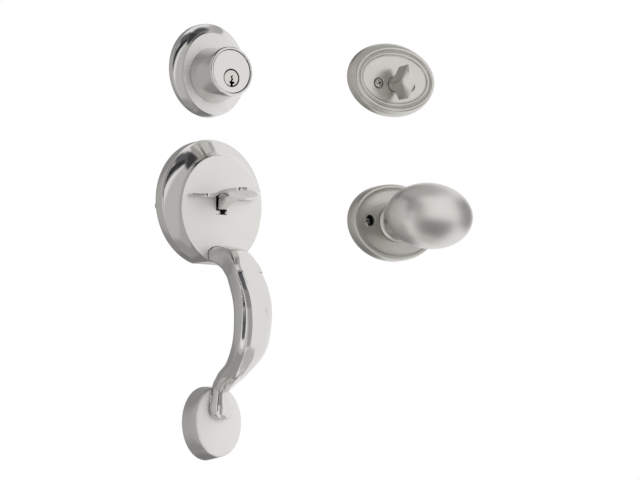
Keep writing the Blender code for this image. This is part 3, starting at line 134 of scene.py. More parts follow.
world = bpy.data.worlds.new("studio")
world.use_nodes = True
bpy.context.scene.world = world
room = world.node_tree
room.nodes.clear()
room_light = add_node(room, "ShaderNodeBackground", {"Color": WHITE, "Strength": ROOM_LIGHT})
paper_white = add_node(room, "ShaderNodeBackground", {"Color": WHITE, "Strength": 1.0})
ray = add_node(room, "ShaderNodeLightPath")
mirrored = add_node(room, "ShaderNodeMath", {
    0: ray.outputs["Is Glossy Ray"], 1: ray.outputs["Is Transmission Ray"]}, operation="MAXIMUM")
shown = add_node(room, "ShaderNodeMath", {0: ray.outputs["Is Camera Ray"], 1: mirrored}, operation="MAXIMUM")
seen = add_node(room, "ShaderNodeMixShader", {0: shown, 1: room_light, 2: paper_white})
add_node(room, "ShaderNodeOutputWorld", {"Surface": seen})

floor_mesh = bpy.data.meshes.new("studio_floor")
floor_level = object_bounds()[0][2] - FLOOR_DROP
floor_mesh.from_pydata([(x * FLOOR_HALF_SIZE, y * FLOOR_HALF_SIZE, floor_level) for x, y in SQUARE],
                       [], [(0, 1, 2, 3)])
studio_floor = bpy.data.objects.new("studio_floor", floor_mesh)
into_scene(studio_floor)
floor_paper = bpy.data.materials.new("floor_paper")
floor_paper.use_nodes = True
set_inputs(floor_paper.node_tree, floor_paper.node_tree.nodes["Principled BSDF"],
           {"Base Color": from_hex(FLOOR_WHITE), "Roughness": 0.8})
floor_mesh.materials.append(floor_paper)


# Studio: tent of painted reflections
# A glowing dome that only reflections see, so all it does is paint reflections on the
# metal: white to the right, grey patches on the left and behind, black above. Its grey and
# black patches paint the grey bands and dark streaks on the metal.
TENT_RADIUS = 1.10
TENT_MIDDLE = (0.03, -0.03, -0.02)
# Each patch paints a reflection: the azimuth and elevation of its middle, its half width
# and half height and its soft edge, all in degrees, and its shade.
TENT_PATCHES = [
    (-118, -2, 58, 66, 8, "#cfcecd"),
    (-140, -2, 26, 66, 16, "#bebdbc"),
    (180, 0, 24, 80, 14, "#9d9c9b"),
    (165, -40, 14, 22, 9, "#8a8988"),
    (-130, -62, 50, 12, 10, "#a9a8a6"),
    (60, -66, 60, 12, 12, "#d0cfcd"),
    (100, 58, 32, 8, 14, "#cbcac9"),
    (-12, 0, 10, 46, 6, "#b4b3b1"),
    (-17, 28, 11, 15, 4, "#9a9998"),
    (180, 86, 180, 16, 5, "#88888a"),
    (20, 84, 60, 12, 5, "#5c5c5f"),
    (-52, 78, 44, 14, 6, "#434346"),
    (-30, 56, 16, 7, 6, "#66666a"),
    (180, 62, 34, 9, 4, "#3c3c3f"),
    (-40, 36, 5, 24, 4, "#343437"),
    (-42, -8, 3, 20, 3, "#4a4a4d"),
]


def tent_patch(tree, azimuth, elevation, shade_so_far, patch):
    """Lays one soft-edged patch over the shades so far."""
    middle_azimuth, middle_elevation, half_width, half_height, soft, shade = patch
    offset = add_node(tree, "ShaderNodeMath", {0: azimuth, 1: float(middle_azimuth)}, operation="SUBTRACT")
    sideways = add_node(tree, "ShaderNodeMath", {0: offset, 1: 180.0}, operation="PINGPONG")
    climb = add_node(tree, "ShaderNodeMath", {0: elevation, 1: float(middle_elevation)}, operation="SUBTRACT")
    above = add_node(tree, "ShaderNodeMath", {0: climb}, operation="ABSOLUTE")
    covers = [add_node(tree, "ShaderNodeMapRange", {
        "Value": away, "From Min": float(half), "From Max": float(half + soft),
        "To Min": 1.0, "To Max": 0.0}, interpolation_type="SMOOTHSTEP")
        for away, half in ((sideways, half_width), (above, half_height))]
    cover = add_node(tree, "ShaderNodeMath", {0: covers[0], 1: covers[1]}, operation="MULTIPLY")
    mix = add_node(tree, "ShaderNodeMix", {
        "Factor": cover, "A": shade_so_far, "B": from_hex(shade)}, data_type="RGBA")
    return mix.outputs["Result"]


def blank_material(name):
    """A material whose nodes are still to come, and its node tree."""
    material = bpy.data.materials.new(name)
    material.use_nodes = True
    material.node_tree.nodes.clear()
    return material, material.node_tree


def seen_by_metal_only(painted_reflection_piece):
    """Sets up a glowing piece that only reflections see, so that it paints reflections."""
    painted_reflection_piece.visible_camera = False
    painted_reflection_piece.visible_diffuse = False
    painted_reflection_piece.visible_shadow = False
    painted_reflection_piece.visible_transmission = False
    into_scene(painted_reflection_piece)


tent_mesh = bpy.data.meshes.new("studio_tent")
dome = bmesh.new()
bmesh.ops.create_uvsphere(dome, u_segments=48, v_segments=24, radius=TENT_RADIUS)
dome.to_mesh(tent_mesh)
dome.free()
# Painted reflections: the dome glows with the patches' shades, and only reflections see it.
tent_glow_material, tent_glow_nodes = blank_material("tent_glow_material")
place = add_node(tent_glow_nodes, "ShaderNodeTexCoord")
way = add_node(tent_glow_nodes, "ShaderNodeVectorMath", {0: place.outputs["Object"]}, operation="NORMALIZE")
parts = add_node(tent_glow_nodes, "ShaderNodeSeparateXYZ", {0: way})
front = add_node(tent_glow_nodes, "ShaderNodeMath", {0: parts.outputs["Y"], 1: -1.0}, operation="MULTIPLY")
heading = add_node(tent_glow_nodes, "ShaderNodeMath", {0: parts.outputs["X"], 1: front}, operation="ARCTAN2")
azimuth = add_node(tent_glow_nodes, "ShaderNodeMath", {0: heading}, operation="DEGREES")
tilt = add_node(tent_glow_nodes, "ShaderNodeMath", {0: parts.outputs["Z"]}, operation="ARCSINE")
elevation = add_node(tent_glow_nodes, "ShaderNodeMath", {0: tilt}, operation="DEGREES")
white = add_node(tent_glow_nodes, "ShaderNodeRGB")
white.outputs[0].default_value = WHITE
shade = white
for patch in TENT_PATCHES:
    shade = tent_patch(tent_glow_nodes, azimuth, elevation, shade, patch)
glow = add_node(tent_glow_nodes, "ShaderNodeEmission", {"Color": shade, "Strength": 1.0})
add_node(tent_glow_nodes, "ShaderNodeOutputMaterial", {"Surface": glow})
tent_mesh.materials.append(tent_glow_material)
tent_mesh.shade_smooth()
tent = bpy.data.objects.new("studio_tent", tent_mesh)
tent.location = TENT_MIDDLE
seen_by_metal_only(tent)


# Studio: cards of painted reflections
# Soft glowing cards that only reflections see, and only from their front, so they paint
# reflections: a white one between the two columns paints bright reflections, and grey ones to
# the right of the knob, below it and above paint grey reflections on the knob and the
# thumbturn, painted shade on the knob's right side and underside.
def card(name, target, way, distance, size, shade, soft):
    """A glowing card that faces a target and paints reflections on it. Its way is an azimuth and an
    elevation; soft is its edge's share.
    """
    outwards = direction(*way)
    mesh = bpy.data.meshes.new(name)
    mesh.from_pydata([(x, y, 0.0) for x, y in SQUARE], [], [(0, 1, 2, 3)])
    board = bpy.data.objects.new(name, mesh)
    board.matrix_world = (Matrix.Translation(Vector(target) + distance * outwards)
                          @ outwards.to_track_quat("-Z", "Y").to_matrix().to_4x4()
                          @ Matrix.Diagonal((size[0] / 2, size[1] / 2, 1.0, 1.0)))
    card_glow_material, tree = blank_material(name)
    place = add_node(tree, "ShaderNodeTexCoord")
    across = add_node(tree, "ShaderNodeSeparateXYZ", {0: place.outputs["Object"]})
    side = add_node(tree, "ShaderNodeNewGeometry")
    cover = add_node(tree, "ShaderNodeMath", {0: 1.0, 1: side.outputs["Backfacing"]}, operation="SUBTRACT")
    for axis in ("X", "Y"):
        away = add_node(tree, "ShaderNodeMath", {0: across.outputs[axis]}, operation="ABSOLUTE")
        fade = add_node(tree, "ShaderNodeMapRange", {
            "Value": away, "From Min": 1.0 - soft, "From Max": 1.0,
            "To Min": 1.0, "To Max": 0.0}, interpolation_type="SMOOTHSTEP")
        cover = add_node(tree, "ShaderNodeMath", {0: cover, 1: fade}, operation="MULTIPLY")
    clear = add_node(tree, "ShaderNodeBsdfTransparent")
    glow = add_node(tree, "ShaderNodeEmission", {"Color": from_hex(shade), "Strength": 1.0})
    mixed = add_node(tree, "ShaderNodeMixShader", {0: cover, 1: clear, 2: glow})
    add_node(tree, "ShaderNodeOutputMaterial", {"Surface": mixed})
    mesh.materials.append(card_glow_material)
    seen_by_metal_only(board)


KNOB_MIDDLE = (0.1715, -0.056, -0.0035)
# Painted reflections: a bright one for the handle, and grey ones for the knob and thumbturn.
card("white_card_between", (0.0, -0.05, -0.03), (90, 0), 0.10, (0.24, 0.50), "#ffffff", soft=0.05)
card("knob_card_right", KNOB_MIDDLE, (78, 8), 0.13, (0.16, 0.20), "#9c9b9a", soft=0.6)
card("knob_card_below", KNOB_MIDDLE, (14, -42), 0.13, (0.22, 0.19), "#8c8b8a", soft=0.6)
card("inside_card_above", KNOB_MIDDLE, (0, 86), 0.22, (0.25, 0.30), "#bdbcbb", soft=0.3)


# Satin nickel, polished
# Nickel plate on brass, polished and lacquered: close to a mirror, a little warm, with a
# fine grain that softens it. The roses' flat faces are left matt, and their nickel is painted
# lighter: painted light that keeps the matt faces bright. The real grain is under 0.05 mm
# wide, and is drawn wider so that it shows.
POLISHED_NICKEL = "#dbdad8"
# Painted light: the faces' nickel is lighter than the polished nickel.
FACE_NICKEL_PAINTED_LIGHTER = "#e7e6e4"
POLISH_GRAIN_MM = 0.35
CLOUDS_PER_METRE = 28.0


def bare_metal(name, colour, roughness, grain_mm, grain_stretch=(1.0, 1.0, 1.0), depth_mm=0.004,
               spread=0.05, tone="#ffffff", lathed=0.0):
    """A metal whose grain varies its roughness and lifts its surface, with faint clouds of a second tone."""
    metal = bpy.data.materials.new(name)
    metal.use_nodes = True
    tree = metal.node_tree
    shader = tree.nodes["Principled BSDF"]
    place = add_node(tree, "ShaderNodeTexCoord")
    stretched = add_node(tree, "ShaderNodeMapping", {
        "Vector": place.outputs["Object"], "Scale": grain_stretch})
    grain = add_node(tree, "ShaderNodeTexNoise", {
        "Vector": stretched, "Scale": 1000.0 / grain_mm, "Detail": 3.0, "Roughness": 0.6})
    cloud = add_node(tree, "ShaderNodeTexNoise", {
        "Vector": place.outputs["Object"], "Scale": CLOUDS_PER_METRE, "Detail": 2.0})
    shade = add_node(tree, "ShaderNodeMix", {
        "Factor": cloud, "A": from_hex(colour),
        "B": tuple(c * t for c, t in zip(from_hex(colour), from_hex(tone)))}, data_type="RGBA")
    polish = add_node(tree, "ShaderNodeMapRange", {
        "Value": grain, "From Min": 0.3, "From Max": 0.7,
        "To Min": roughness - spread, "To Max": roughness + spread})
    lift = add_node(tree, "ShaderNodeBump", {
        "Strength": 0.25, "Distance": depth_mm / 1000.0, "Height": grain})
    set_inputs(tree, shader, {
        "Metallic": 1.0, "Base Color": shade.outputs["Result"], "Roughness": polish, "Normal": lift})
    if lathed:
        lathe = add_node(tree, "ShaderNodeTangent", direction_type="RADIAL", axis="Z")
        set_inputs(tree, shader, {"Anisotropic": lathed, "Tangent": lathe})
    return metal


polished_nickel = bare_metal("satin_nickel_polished", POLISHED_NICKEL, 0.11, POLISH_GRAIN_MM,
                             spread=0.02, depth_mm=0.0006, tone="#faf9f8")
lightened_face_nickel = bare_metal("satin_nickel_face", FACE_NICKEL_PAINTED_LIGHTER, 0.50, POLISH_GRAIN_MM,
                         spread=0.03, depth_mm=0.001, tone="#faf9f8")


# Exterior deadbolt: rose
# A drawn brass cup. Its round face is eccentric in the rim, so that the cove between
# them is wide at the top left, and the cylinder's collar stands on the face.
OUT_OF_DOOR = Matrix.Rotation(math.radians(90), 4, "X")
DEADBOLT_AXIS = Matrix.Translation((0.0, 0.0, 0.099)) @ OUT_OF_DOOR
BOLT_ROSE = (0.0338, 0.0365, 0.0050)
BOLT_FACE = (0.0279, 0.0322, 0.0015)
BOLT_RIM = 0.0045
BOLT_DEPTH = 0.0117
BOLT_EDGE = 0.0005
BOLT_WALL = 0.0022
CYLINDER_RADIUS = 0.0168
SEAM = 0.0003
FINE = 128


def ring(half_width, half_height, height, rise=0.0, foot=None, count=FINE):
    """Points on an ellipse at a height out of the door. A foot cuts it off flat below."""
    if foot is None:
        turns = [2 * math.pi * i / count for i in range(count)]
        return [(half_width * math.cos(a), rise + half_height * math.sin(a), height) for a in turns]
    flat_points = count // 10
    start = math.asin((foot + rise) / half_height)
    span = (math.pi + 2 * start) / (count - flat_points - 1)
    turns = [-start + span * i for i in range(count - flat_points)]
    points = [(half_width * math.cos(a), rise + half_height * math.sin(a), height) for a in turns]
    corner = half_width * math.cos(start)
    steps = [k / (flat_points + 1) for k in range(1, flat_points + 1)]
    return points + [(corner * (2 * s - 1), -foot, height) for s in steps]


def coved_rings(outer, face, rim, depth, edge, foot=None, wall=0.0, steps=18):
    """Side wall, rounded rim, cove and rounded face edge, moved inwards by a wall."""
    reach = outer[0] - face[0]
    quarter = [math.radians(a) for a in (22.5, 45.0, 67.5)]
    profile = [(0.0, 0.0), (0.0, rim - edge)]
    profile += [(edge * (1 - math.cos(a)), rim - edge + edge * math.sin(a)) for a in quarter]
    for k in range(steps + 1):
        a = math.radians(90) * k / steps
        climb = 0.55 * math.sin(a) + 0.45 * (1 - math.cos(a))
        profile.append((edge + (reach - edge) * math.sin(a), rim + (depth - edge - rim) * climb))
    profile += [(reach + edge * (1 - math.cos(a)), depth - edge + edge * math.sin(a)) for a in quarter]
    profile.append((reach + edge, depth))
    rings = []
    for inwards, height in profile:
        share = inwards / reach
        sizes = [o + (f - o) * share for o, f in zip(outer, face)]
        low = None if foot is None else foot - wall
        rings.append(ring(sizes[0] - wall, sizes[1] - wall, max(0.0, height - wall), sizes[2], low))
    return rings


def settled(work, mesh):
    """Joins doubled points, turns the faces outwards and stores the work in a mesh."""
    bmesh.ops.remove_doubles(work, verts=work.verts, dist=1e-7)
    bmesh.ops.recalc_face_normals(work, faces=work.faces)
    work.to_mesh(mesh)
    work.free()
    return mesh


def skin(rings, closed=False):
    """A mesh over rings of equal counts, capped at both ends or joined into a loop."""
    work = bmesh.new()
    rows = [[work.verts.new(point) for point in row] for row in rings]
    pairs = list(zip(rows, rows[1:]))
    if closed:
        pairs.append((rows[-1], rows[0]))
    for low, high in pairs:
        for i in range(len(low)):
            j = (i + 1) % len(low)
            work.faces.new((low[i], low[j], high[j], high[i]))
    if not closed:
        work.faces.new(rows[0])
        work.faces.new(rows[-1])
    return settled(work, bpy.data.meshes.new("skin"))


def made(name, mesh, axis, finish=polished_nickel, sharp=32.0):
    """A piece of the model, placed on its axis and smooth but for its edges."""
    mesh.name = name
    mesh.materials.append(finish)
    mesh.shade_smooth()
    mesh.set_sharp_from_angle(angle=math.radians(sharp))
    piece = bpy.data.objects.new(name, mesh)
    piece.matrix_world = axis
    into_scene(piece)
    return piece


def fitted(piece, body, node):
    """The piece rides on a body and stands for a CAD node."""
    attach(piece, body)
    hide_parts(node)


def face_finish(piece, finish, lowest):
    """Gives a second finish to the polygons of the face, above a height out of the door."""
    piece.data.materials.append(finish)
    for polygon in piece.data.polygons:
        if polygon.center.z > lowest and polygon.normal.z > 0.9:
            polygon.material_index = 1


hole = CYLINDER_RADIUS + SEAM
bolt_cup = (BOLT_ROSE, BOLT_FACE, BOLT_RIM, BOLT_DEPTH, BOLT_EDGE)
rings = coved_rings(*bolt_cup)
rings.append(ring(hole, hole, BOLT_DEPTH))
rings.append(ring(hole, hole, BOLT_DEPTH - BOLT_WALL))
rings += coved_rings(*bolt_cup, wall=BOLT_WALL, steps=8)[::-1]
deadbolt_rose = made("bolt_rose_skin", skin(rings, closed=True), DEADBOLT_AXIS)
face_finish(deadbolt_rose, lightened_face_nickel, BOLT_DEPTH - 0.0001)
fitted(deadbolt_rose, "trim", "deadbolt_rose")


# Exterior deadbolt: collar
# A hardened tapered collar that turns freely round the cylinder. Its front edge is a
# polished bead, and a hairline groove parts it from the cylinder's face.
COLLAR_BASE = 0.0215
COLLAR_FRONT = 0.0194
COLLAR_LENGTH = 0.0260
COLLAR_BEAD = 0.0016
COLLAR_WAIST = 0.0005


def turned(profile, count=FINE):
    """A mesh turned about its axis from a closed run of (radius, height) points."""
    return skin([ring(radius, radius, height, count=count) for radius, height in profile], closed=True)


collar_seat = BOLT_DEPTH + SEAM
collar_front = collar_seat + COLLAR_LENGTH
profile = [(hole, collar_seat), (COLLAR_BASE - 0.0003, collar_seat), (COLLAR_BASE, collar_seat + 0.0003)]
for k in range(1, 16):
    t = k / 16
    waist = COLLAR_WAIST * math.sin(math.pi * t)
    profile.append((COLLAR_BASE + (COLLAR_FRONT - COLLAR_BASE) * t - waist,
                    collar_seat + (COLLAR_LENGTH - COLLAR_BEAD) * t))
for k in range(9):
    a = math.radians(90) * k / 8
    profile.append((COLLAR_FRONT - COLLAR_BEAD + COLLAR_BEAD * math.cos(a),
                    collar_front - COLLAR_BEAD + COLLAR_BEAD * math.sin(a)))
profile += [(hole + 0.0004, collar_front - 0.0001), (hole + 0.0001, collar_front - 0.0004),
            (hole, collar_front - 0.0010)]
collar = made("bolt_collar", turned(profile), DEADBOLT_AXIS)
fitted(collar, "trim", "cylinder_guard")


# Exterior deadbolt: cylinder and plug
# The cylinder's face is turned flat, with a fine ring where it meets the collar. The
# plug is drawn nickel silver, and its warded keyway is broached through to its foot. The
# keyway's walls and the bore round the plug are dull and near black: painted shade in the
# keyway and in the gap round the plug.
CYLINDER_FACE = collar_front - 0.0007
FLANGE_RADIUS = 0.0205
FLANGE_TOP = BOLT_DEPTH - BOLT_WALL - 0.0005
FLANGE_BOTTOM = FLANGE_TOP - 0.0060
PLUG_RADIUS = 0.0065
PLUG_DROP = 0.0052
PLUG_NECK = 0.0055
PLUG_NECK_LENGTH = 0.0045
PLUG_COLOUR = "#d2cfc9"
KEYWAY_DEPTH = 0.0180
KEYWAY_PAINTED_SHADE = "#2a2825"

plug_metal = bare_metal("nickel_silver_turned", PLUG_COLOUR, 0.24, 0.25, spread=0.05, lathed=0.5)
# Dull, near-black brass for the keyway's walls and the plug's bore: painted shade.
keyway_painted_shade = bare_metal("keyway_brass_painted_shade", KEYWAY_PAINTED_SHADE, 0.55, 0.2, spread=0.08)
PLUG_AXIS = DEADBOLT_AXIS @ Matrix.Translation((0.0, -PLUG_DROP, 0.0))


def modified_mesh(piece):
    """A new mesh of a piece, with its modifiers applied."""
    graph = bpy.context.evaluated_depsgraph_get()
    return bpy.data.meshes.new_from_object(piece.evaluated_get(graph))


def cut(piece, tools, operation="DIFFERENCE", inside="INDEX"):
    """Cuts tools from a piece, or joins them to it, and keeps flat faces flat.

    With TRANSFER inside, the cut shows the tools' finish.
    """
    for index, cutter in enumerate(tools):
        step = piece.modifiers.new(f"cut_{index}", "BOOLEAN")
        step.operation = operation
        step.solver = "EXACT"
        step.material_mode = inside
        step.object = cutter
    result = modified_mesh(piece)
    piece.modifiers.clear()
    piece.data = result
    for polygon in result.polygons:
        if abs(polygon.normal.z) > 0.99999:
            polygon.use_smooth = False
    for cutter in tools:
        bpy.data.objects.remove(cutter, do_unlink=True)


def plate(outlines, bottom, top):
    """A plate with closed outlines, between two heights. Later outlines are holes in the first."""
    curve = bpy.data.curves.new("outline", "CURVE")
    curve.dimensions = "2D"
    curve.fill_mode = "BOTH"
    curve.extrude = (top - bottom) / 2
    for outline in outlines:
        spline = curve.splines.new("POLY")
        spline.points.add(len(outline) - 1)
        for point, (x, y) in zip(spline.points, outline):
            point.co = (x, y, 0.0, 1.0)
        spline.use_cyclic_u = True
    source = bpy.data.objects.new("outline", curve)
    into_scene(source)
    mesh = modified_mesh(source)
    bpy.data.objects.remove(source, do_unlink=True)
    mesh.transform(Matrix.Translation((0.0, 0.0, (top + bottom) / 2)))
    work = bmesh.new()
    work.from_mesh(mesh)
    return settled(work, mesh)


def solid_turned(profile, count=FINE):
    """A turned solid whose profile starts and ends on the axis."""
    return skin([ring(radius, radius, height, count=count) for radius, height in profile])


housing = made("bolt_cylinder", solid_turned([
    (0.0004, FLANGE_BOTTOM), (FLANGE_RADIUS, FLANGE_BOTTOM), (FLANGE_RADIUS, FLANGE_TOP),
    (CYLINDER_RADIUS, FLANGE_TOP), (CYLINDER_RADIUS, CYLINDER_FACE - 0.0004),
    (CYLINDER_RADIUS - 0.0002, CYLINDER_FACE - 0.0001), (CYLINDER_RADIUS - 0.0005, CYLINDER_FACE),
    (0.0004, CYLINDER_FACE)]), DEADBOLT_AXIS)
# The bore's wall takes the keyway's near-black colour: painted shade in the gap round the plug.
plug_bore = made("plug_bore", solid_turned([
    (PLUG_RADIUS + SEAM, -0.01), (PLUG_RADIUS + SEAM, CYLINDER_FACE - 0.0003),
    (PLUG_RADIUS + 0.0007, CYLINDER_FACE), (PLUG_RADIUS + 0.0012, CYLINDER_FACE + 0.002)]),
    PLUG_AXIS, keyway_painted_shade)
cut(housing, [plug_bore], inside="TRANSFER")
fitted(housing, "trim", "cylinder_housing")

neck_end = FLANGE_BOTTOM - PLUG_NECK_LENGTH
plug = made("bolt_plug", solid_turned([
    (0.0002, neck_end), (PLUG_NECK, neck_end), (PLUG_NECK, FLANGE_BOTTOM), (PLUG_RADIUS, FLANGE_BOTTOM),
    (PLUG_RADIUS, CYLINDER_FACE - 0.0005), (PLUG_RADIUS - 0.0005, CYLINDER_FACE), (0.0002, CYLINDER_FACE)]),
    PLUG_AXIS, plug_metal)
keyway_outline = [(x * PLUG_RADIUS, y * PLUG_RADIUS) for x, y in (
    (0.02, 0.30), (0.16, 0.37), (0.20, 0.24), (0.06, 0.10), (0.20, -0.04), (0.22, -0.22), (0.04, -0.40),
    (0.40, -0.44), (0.46, -0.60), (0.20, -0.70), (0.16, -1.3), (-0.12, -1.3), (-0.12, -0.74), (-0.30, -0.62),
    (-0.28, -0.46), (-0.08, -0.30), (0.0, -0.12), (-0.10, 0.02), (-0.10, 0.16))]
keyway = made("keyway", plate([keyway_outline], CYLINDER_FACE - KEYWAY_DEPTH, CYLINDER_FACE + 0.004),
              PLUG_AXIS, keyway_painted_shade)
cut(plug, [keyway], inside="TRANSFER")
fitted(plug, "plug", "cylinder_plug")


# Upper rose
# A tall oval cup with a deep cove and an eccentric flat face. Its foot is cut flat where
# the grip leaves it, and a slot lets the thumbpiece through.
LATCH_AXIS = OUT_OF_DOOR
ROSE = (0.0454, 0.0490, 0.0)
ROSE_FACE = (0.0360, 0.0420, -0.0068)
ROSE_RIM = 0.0095
ROSE_DEPTH = 0.0230
ROSE_EDGE = 0.0005
ROSE_WALL = 0.0025
ROSE_FOOT = 0.0472
SLOT_HALF_WIDTH = 0.0049
SLOT_TOP = 0.0034
SLOT_BOTTOM = 0.0109
GRIP_HALF_WIDTH = 0.0135
GRIP_ROOT_DEPTH = 0.0060
GRIP_ROOT_HALF_HEIGHT = 0.0058
GRIP_ROOT_DROP = ROSE_FOOT - GRIP_ROOT_HALF_HEIGHT
GRIP_BACK_ROUND = 0.0022
GRIP_CROWN = 0.0010
LEAF_BEVEL = 0.0034
LEAF_RAISE = 0.0012
LEAF_LIP = 0.0004
RIDGE_ROUND = 0.0005
CHAMFER_SLOPE = 0.78


def block(name, x, y, z, axis):
    """A block between two corners, each given as (low, high)."""
    outline = [(x[0], y[0]), (x[1], y[0]), (x[1], y[1]), (x[0], y[1])]
    return made(name, plate([outline], z[0], z[1]), axis)


def grip_section(width, depth, leaf_width, roundness, leaf=0.0, inset=0.0):
    """One section as (sideways, outward) points: a chamfered bar whose front may carry the leaf.

    The leaf narrows by the inset, where its top corners are rounded.
    """
    chamfer = width - leaf_width
    shoulder = depth - GRIP_CROWN - LEAF_RAISE * leaf
    edge = leaf_width - inset
    plateau = max(edge - LEAF_BEVEL, 0.35 * edge)
    corner = min(GRIP_BACK_ROUND, 0.4 * depth)
    low = max(shoulder - CHAMFER_SLOPE * chamfer, -0.2 * depth)
    lip = LEAF_LIP * leaf
    brow = depth - 0.3 * GRIP_CROWN
    half = [(plateau * k / 5, depth - 0.3 * GRIP_CROWN * (k / 5) ** 2) for k in range(1, 5)]
    half += [(plateau - 0.0003, brow + 0.00003), (plateau + 0.0003, brow - 0.0001)]
    for t in (0.3, 0.6, 0.85):
        half.append((plateau + (edge - plateau) * t, brow + (shoulder + lip - brow) * t))
    half += [(edge - 0.0001, shoulder + lip), (edge, shoulder + 0.6 * lip), (edge + 0.00005, shoulder)]
    half += [(leaf_width + 0.0001, shoulder - 0.00003), (leaf_width + 0.0003, shoulder - 0.0003)]
    for t in (0.35, 0.65):
        half.append((leaf_width + chamfer * t, shoulder + (low - shoulder) * t))
    half += [(width - RIDGE_ROUND, low + RIDGE_ROUND), (width - 0.15 * RIDGE_ROUND, low + 0.1 * RIDGE_ROUND),
             (width, low - RIDGE_ROUND)]
    half += [(width, low + (-0.45 * depth - low) * 0.5), (width, -0.45 * depth)]
    for k in range(7):
        angle = math.radians(15 * k)
        half.append((width - corner + corner * math.cos(angle), -depth + corner - corner * math.sin(angle)))
    half.append((0.45 * width, -depth - 0.0002))
    points = [(0.0, depth)] + half + [(0.0, -depth - 0.0003)] + [(-x, n) for x, n in reversed(half)]
    section = []
    for count, (x, n) in enumerate(points):
        angle = math.radians(90) - 2 * math.pi * count / len(points)
        section.append((x + (width * math.cos(angle) - x) * roundness,
                        n + (depth * math.sin(angle) - n) * roundness))
    return section


rose_cup = (ROSE, ROSE_FACE, ROSE_RIM, ROSE_DEPTH, ROSE_EDGE, ROSE_FOOT)
rings = coved_rings(*rose_cup)[::-1] + coved_rings(*rose_cup, wall=ROSE_WALL, steps=8)
handle_rose = made("upper_rose_skin", skin(rings), LATCH_AXIS)
thumb_slot = block("thumb_slot", (-SLOT_HALF_WIDTH, SLOT_HALF_WIDTH), (-SLOT_BOTTOM, SLOT_TOP),
                   (ROSE_DEPTH - ROSE_WALL - 0.003, ROSE_DEPTH + 0.005), LATCH_AXIS)
aperture_rings = []
for reach in (ROSE_DEPTH - GRIP_ROOT_DEPTH - SEAM, ROSE_DEPTH + GRIP_ROOT_DEPTH):
    section = grip_section(0.87 * GRIP_HALF_WIDTH + SEAM, GRIP_ROOT_HALF_HEIGHT + SEAM,
                           0.56 * GRIP_HALF_WIDTH + SEAM, 0.0)
    aperture_rings.append([(x, n - GRIP_ROOT_DROP, reach) for x, n in section])
grip_aperture = made("grip_aperture", skin(aperture_rings), LATCH_AXIS)
cut(handle_rose, [thumb_slot, grip_aperture])
face_finish(handle_rose, lightened_face_nickel, ROSE_DEPTH - 0.0001)
fitted(handle_rose, "trim", "handle_rose")


# Grip
# Cast brass, ground by hand and polished. It leaves the rose as a flat bar, arches out
# into a belly with a raised leaf on its front, and ends in a bulb on the lower rose.
GRIP_REACH = 0.0703
GRIP_BELLY_DROP = 0.0985
GRIP_HALF_DEPTH = 0.0088
GRIP_BULB_DROP = 0.1600
BULB_HALF_WIDTH = 0.0096
BULB_DEPTH = 0.0230
LEAF_TOP = 6.1
LEAF_FOOT = 9.5
LEAF_STEP = 0.0006
LEAF_CORNER = 0.0028
TANG_HALF_WIDTH = 0.0100
TANG_HALF_HEIGHT = 0.0042
TANG_DROP = 0.0402
TANG_START = 0.0024
GRIP_BOSS_RADIUS = 0.0045
STUD_BORE = 0.0033

# Stations down the grip: reach, drop, half width, half depth, half width of the leaf,
# roundness from 0 for the bar to 1 for the bulb, and how far the back is spread.
width, depth, bulb = GRIP_HALF_WIDTH, GRIP_HALF_DEPTH, BULB_HALF_WIDTH
root, face, belly, far = GRIP_ROOT_DROP, ROSE_DEPTH, GRIP_BELLY_DROP, GRIP_REACH
out, fall, home, foot = far - face, belly - root, far - BULB_DEPTH, GRIP_BULB_DROP - belly
GRIP_STATIONS = [(reach, root, 0.87 * width, GRIP_ROOT_HALF_HEIGHT, 0.56 * width, 0.0, 1.0)
                 for reach in (face - GRIP_ROOT_DEPTH, face + 0.0008)]
GRIP_STATIONS += [(face + a * out, root + b * fall, w * width, d * depth, leaf * width, 0.0, 1.0)
                  for a, b, w, d, leaf in (
    (0.215, 0.040, 0.79, 0.85, 0.60), (0.353, 0.084, 0.78, 0.95, 0.56), (0.485, 0.136, 0.79, 1.04, 0.57),
    (0.620, 0.238, 0.84, 1.00, 0.70), (0.725, 0.345, 0.90, 0.93, 0.83), (0.955, 0.683, 0.985, 1.00, 0.83),
    (1.0, 1.0, 1.0, 1.0, 0.74))]
GRIP_STATIONS += [(far - a * home, belly + b * foot, w * width, d * depth, leaf * width, roundness, spread)
                  for a, b, w, d, leaf, roundness, spread in (
    (0.105, 0.304, 0.95, 0.90, 0.63, 0.0, 1.03), (0.425, 0.554, 0.81, 0.67, 0.36, 0.15, 1.25),
    (0.800, 0.694, 0.65, 0.55, 0.30, 0.45, 1.75))]
GRIP_STATIONS += [(reach, drop, w * bulb, d * depth, leaf * bulb, 1.0, spread)
                  for reach, drop, w, d, leaf, spread in (
    (far - 0.990 * home, belly + 0.770 * foot, 0.66, 0.60, 0.40, 1.75),
    (BULB_DEPTH, belly + 0.876 * foot, 0.80, 0.70, 0.50, 1.15),
    (BULB_DEPTH, GRIP_BULB_DROP, 1.0, 0.86, 0.60, 1.0),
    (BULB_DEPTH, GRIP_BULB_DROP + 0.68 * bulb, 0.83, 0.70, 0.50, 1.0),
    (BULB_DEPTH, GRIP_BULB_DROP + 1.02 * bulb, 0.38, 0.34, 0.24, 1.0))]
GRIP_END = len(GRIP_STATIONS) - 1


def station_at(place):
    """The grip's values at a place between stations, on a smooth curve through them."""
    i = min(int(place), GRIP_END - 1)
    t = place - i
    p0, p1 = GRIP_STATIONS[max(i - 1, 0)], GRIP_STATIONS[i]
    p2, p3 = GRIP_STATIONS[i + 1], GRIP_STATIONS[min(i + 2, GRIP_END)]
    return [
        0.5 * (2 * b + (c - a) * t + (2 * a - 5 * b + 4 * c - d) * t * t + (3 * b - a - 3 * c + d) * t ** 3)
        for a, b, c, d in zip(p0, p1, p2, p3)]


def eased(value):
    """A smooth step from 0 to 1."""
    value = min(1.0, max(0.0, value))
    return value * value * (3 - 2 * value)


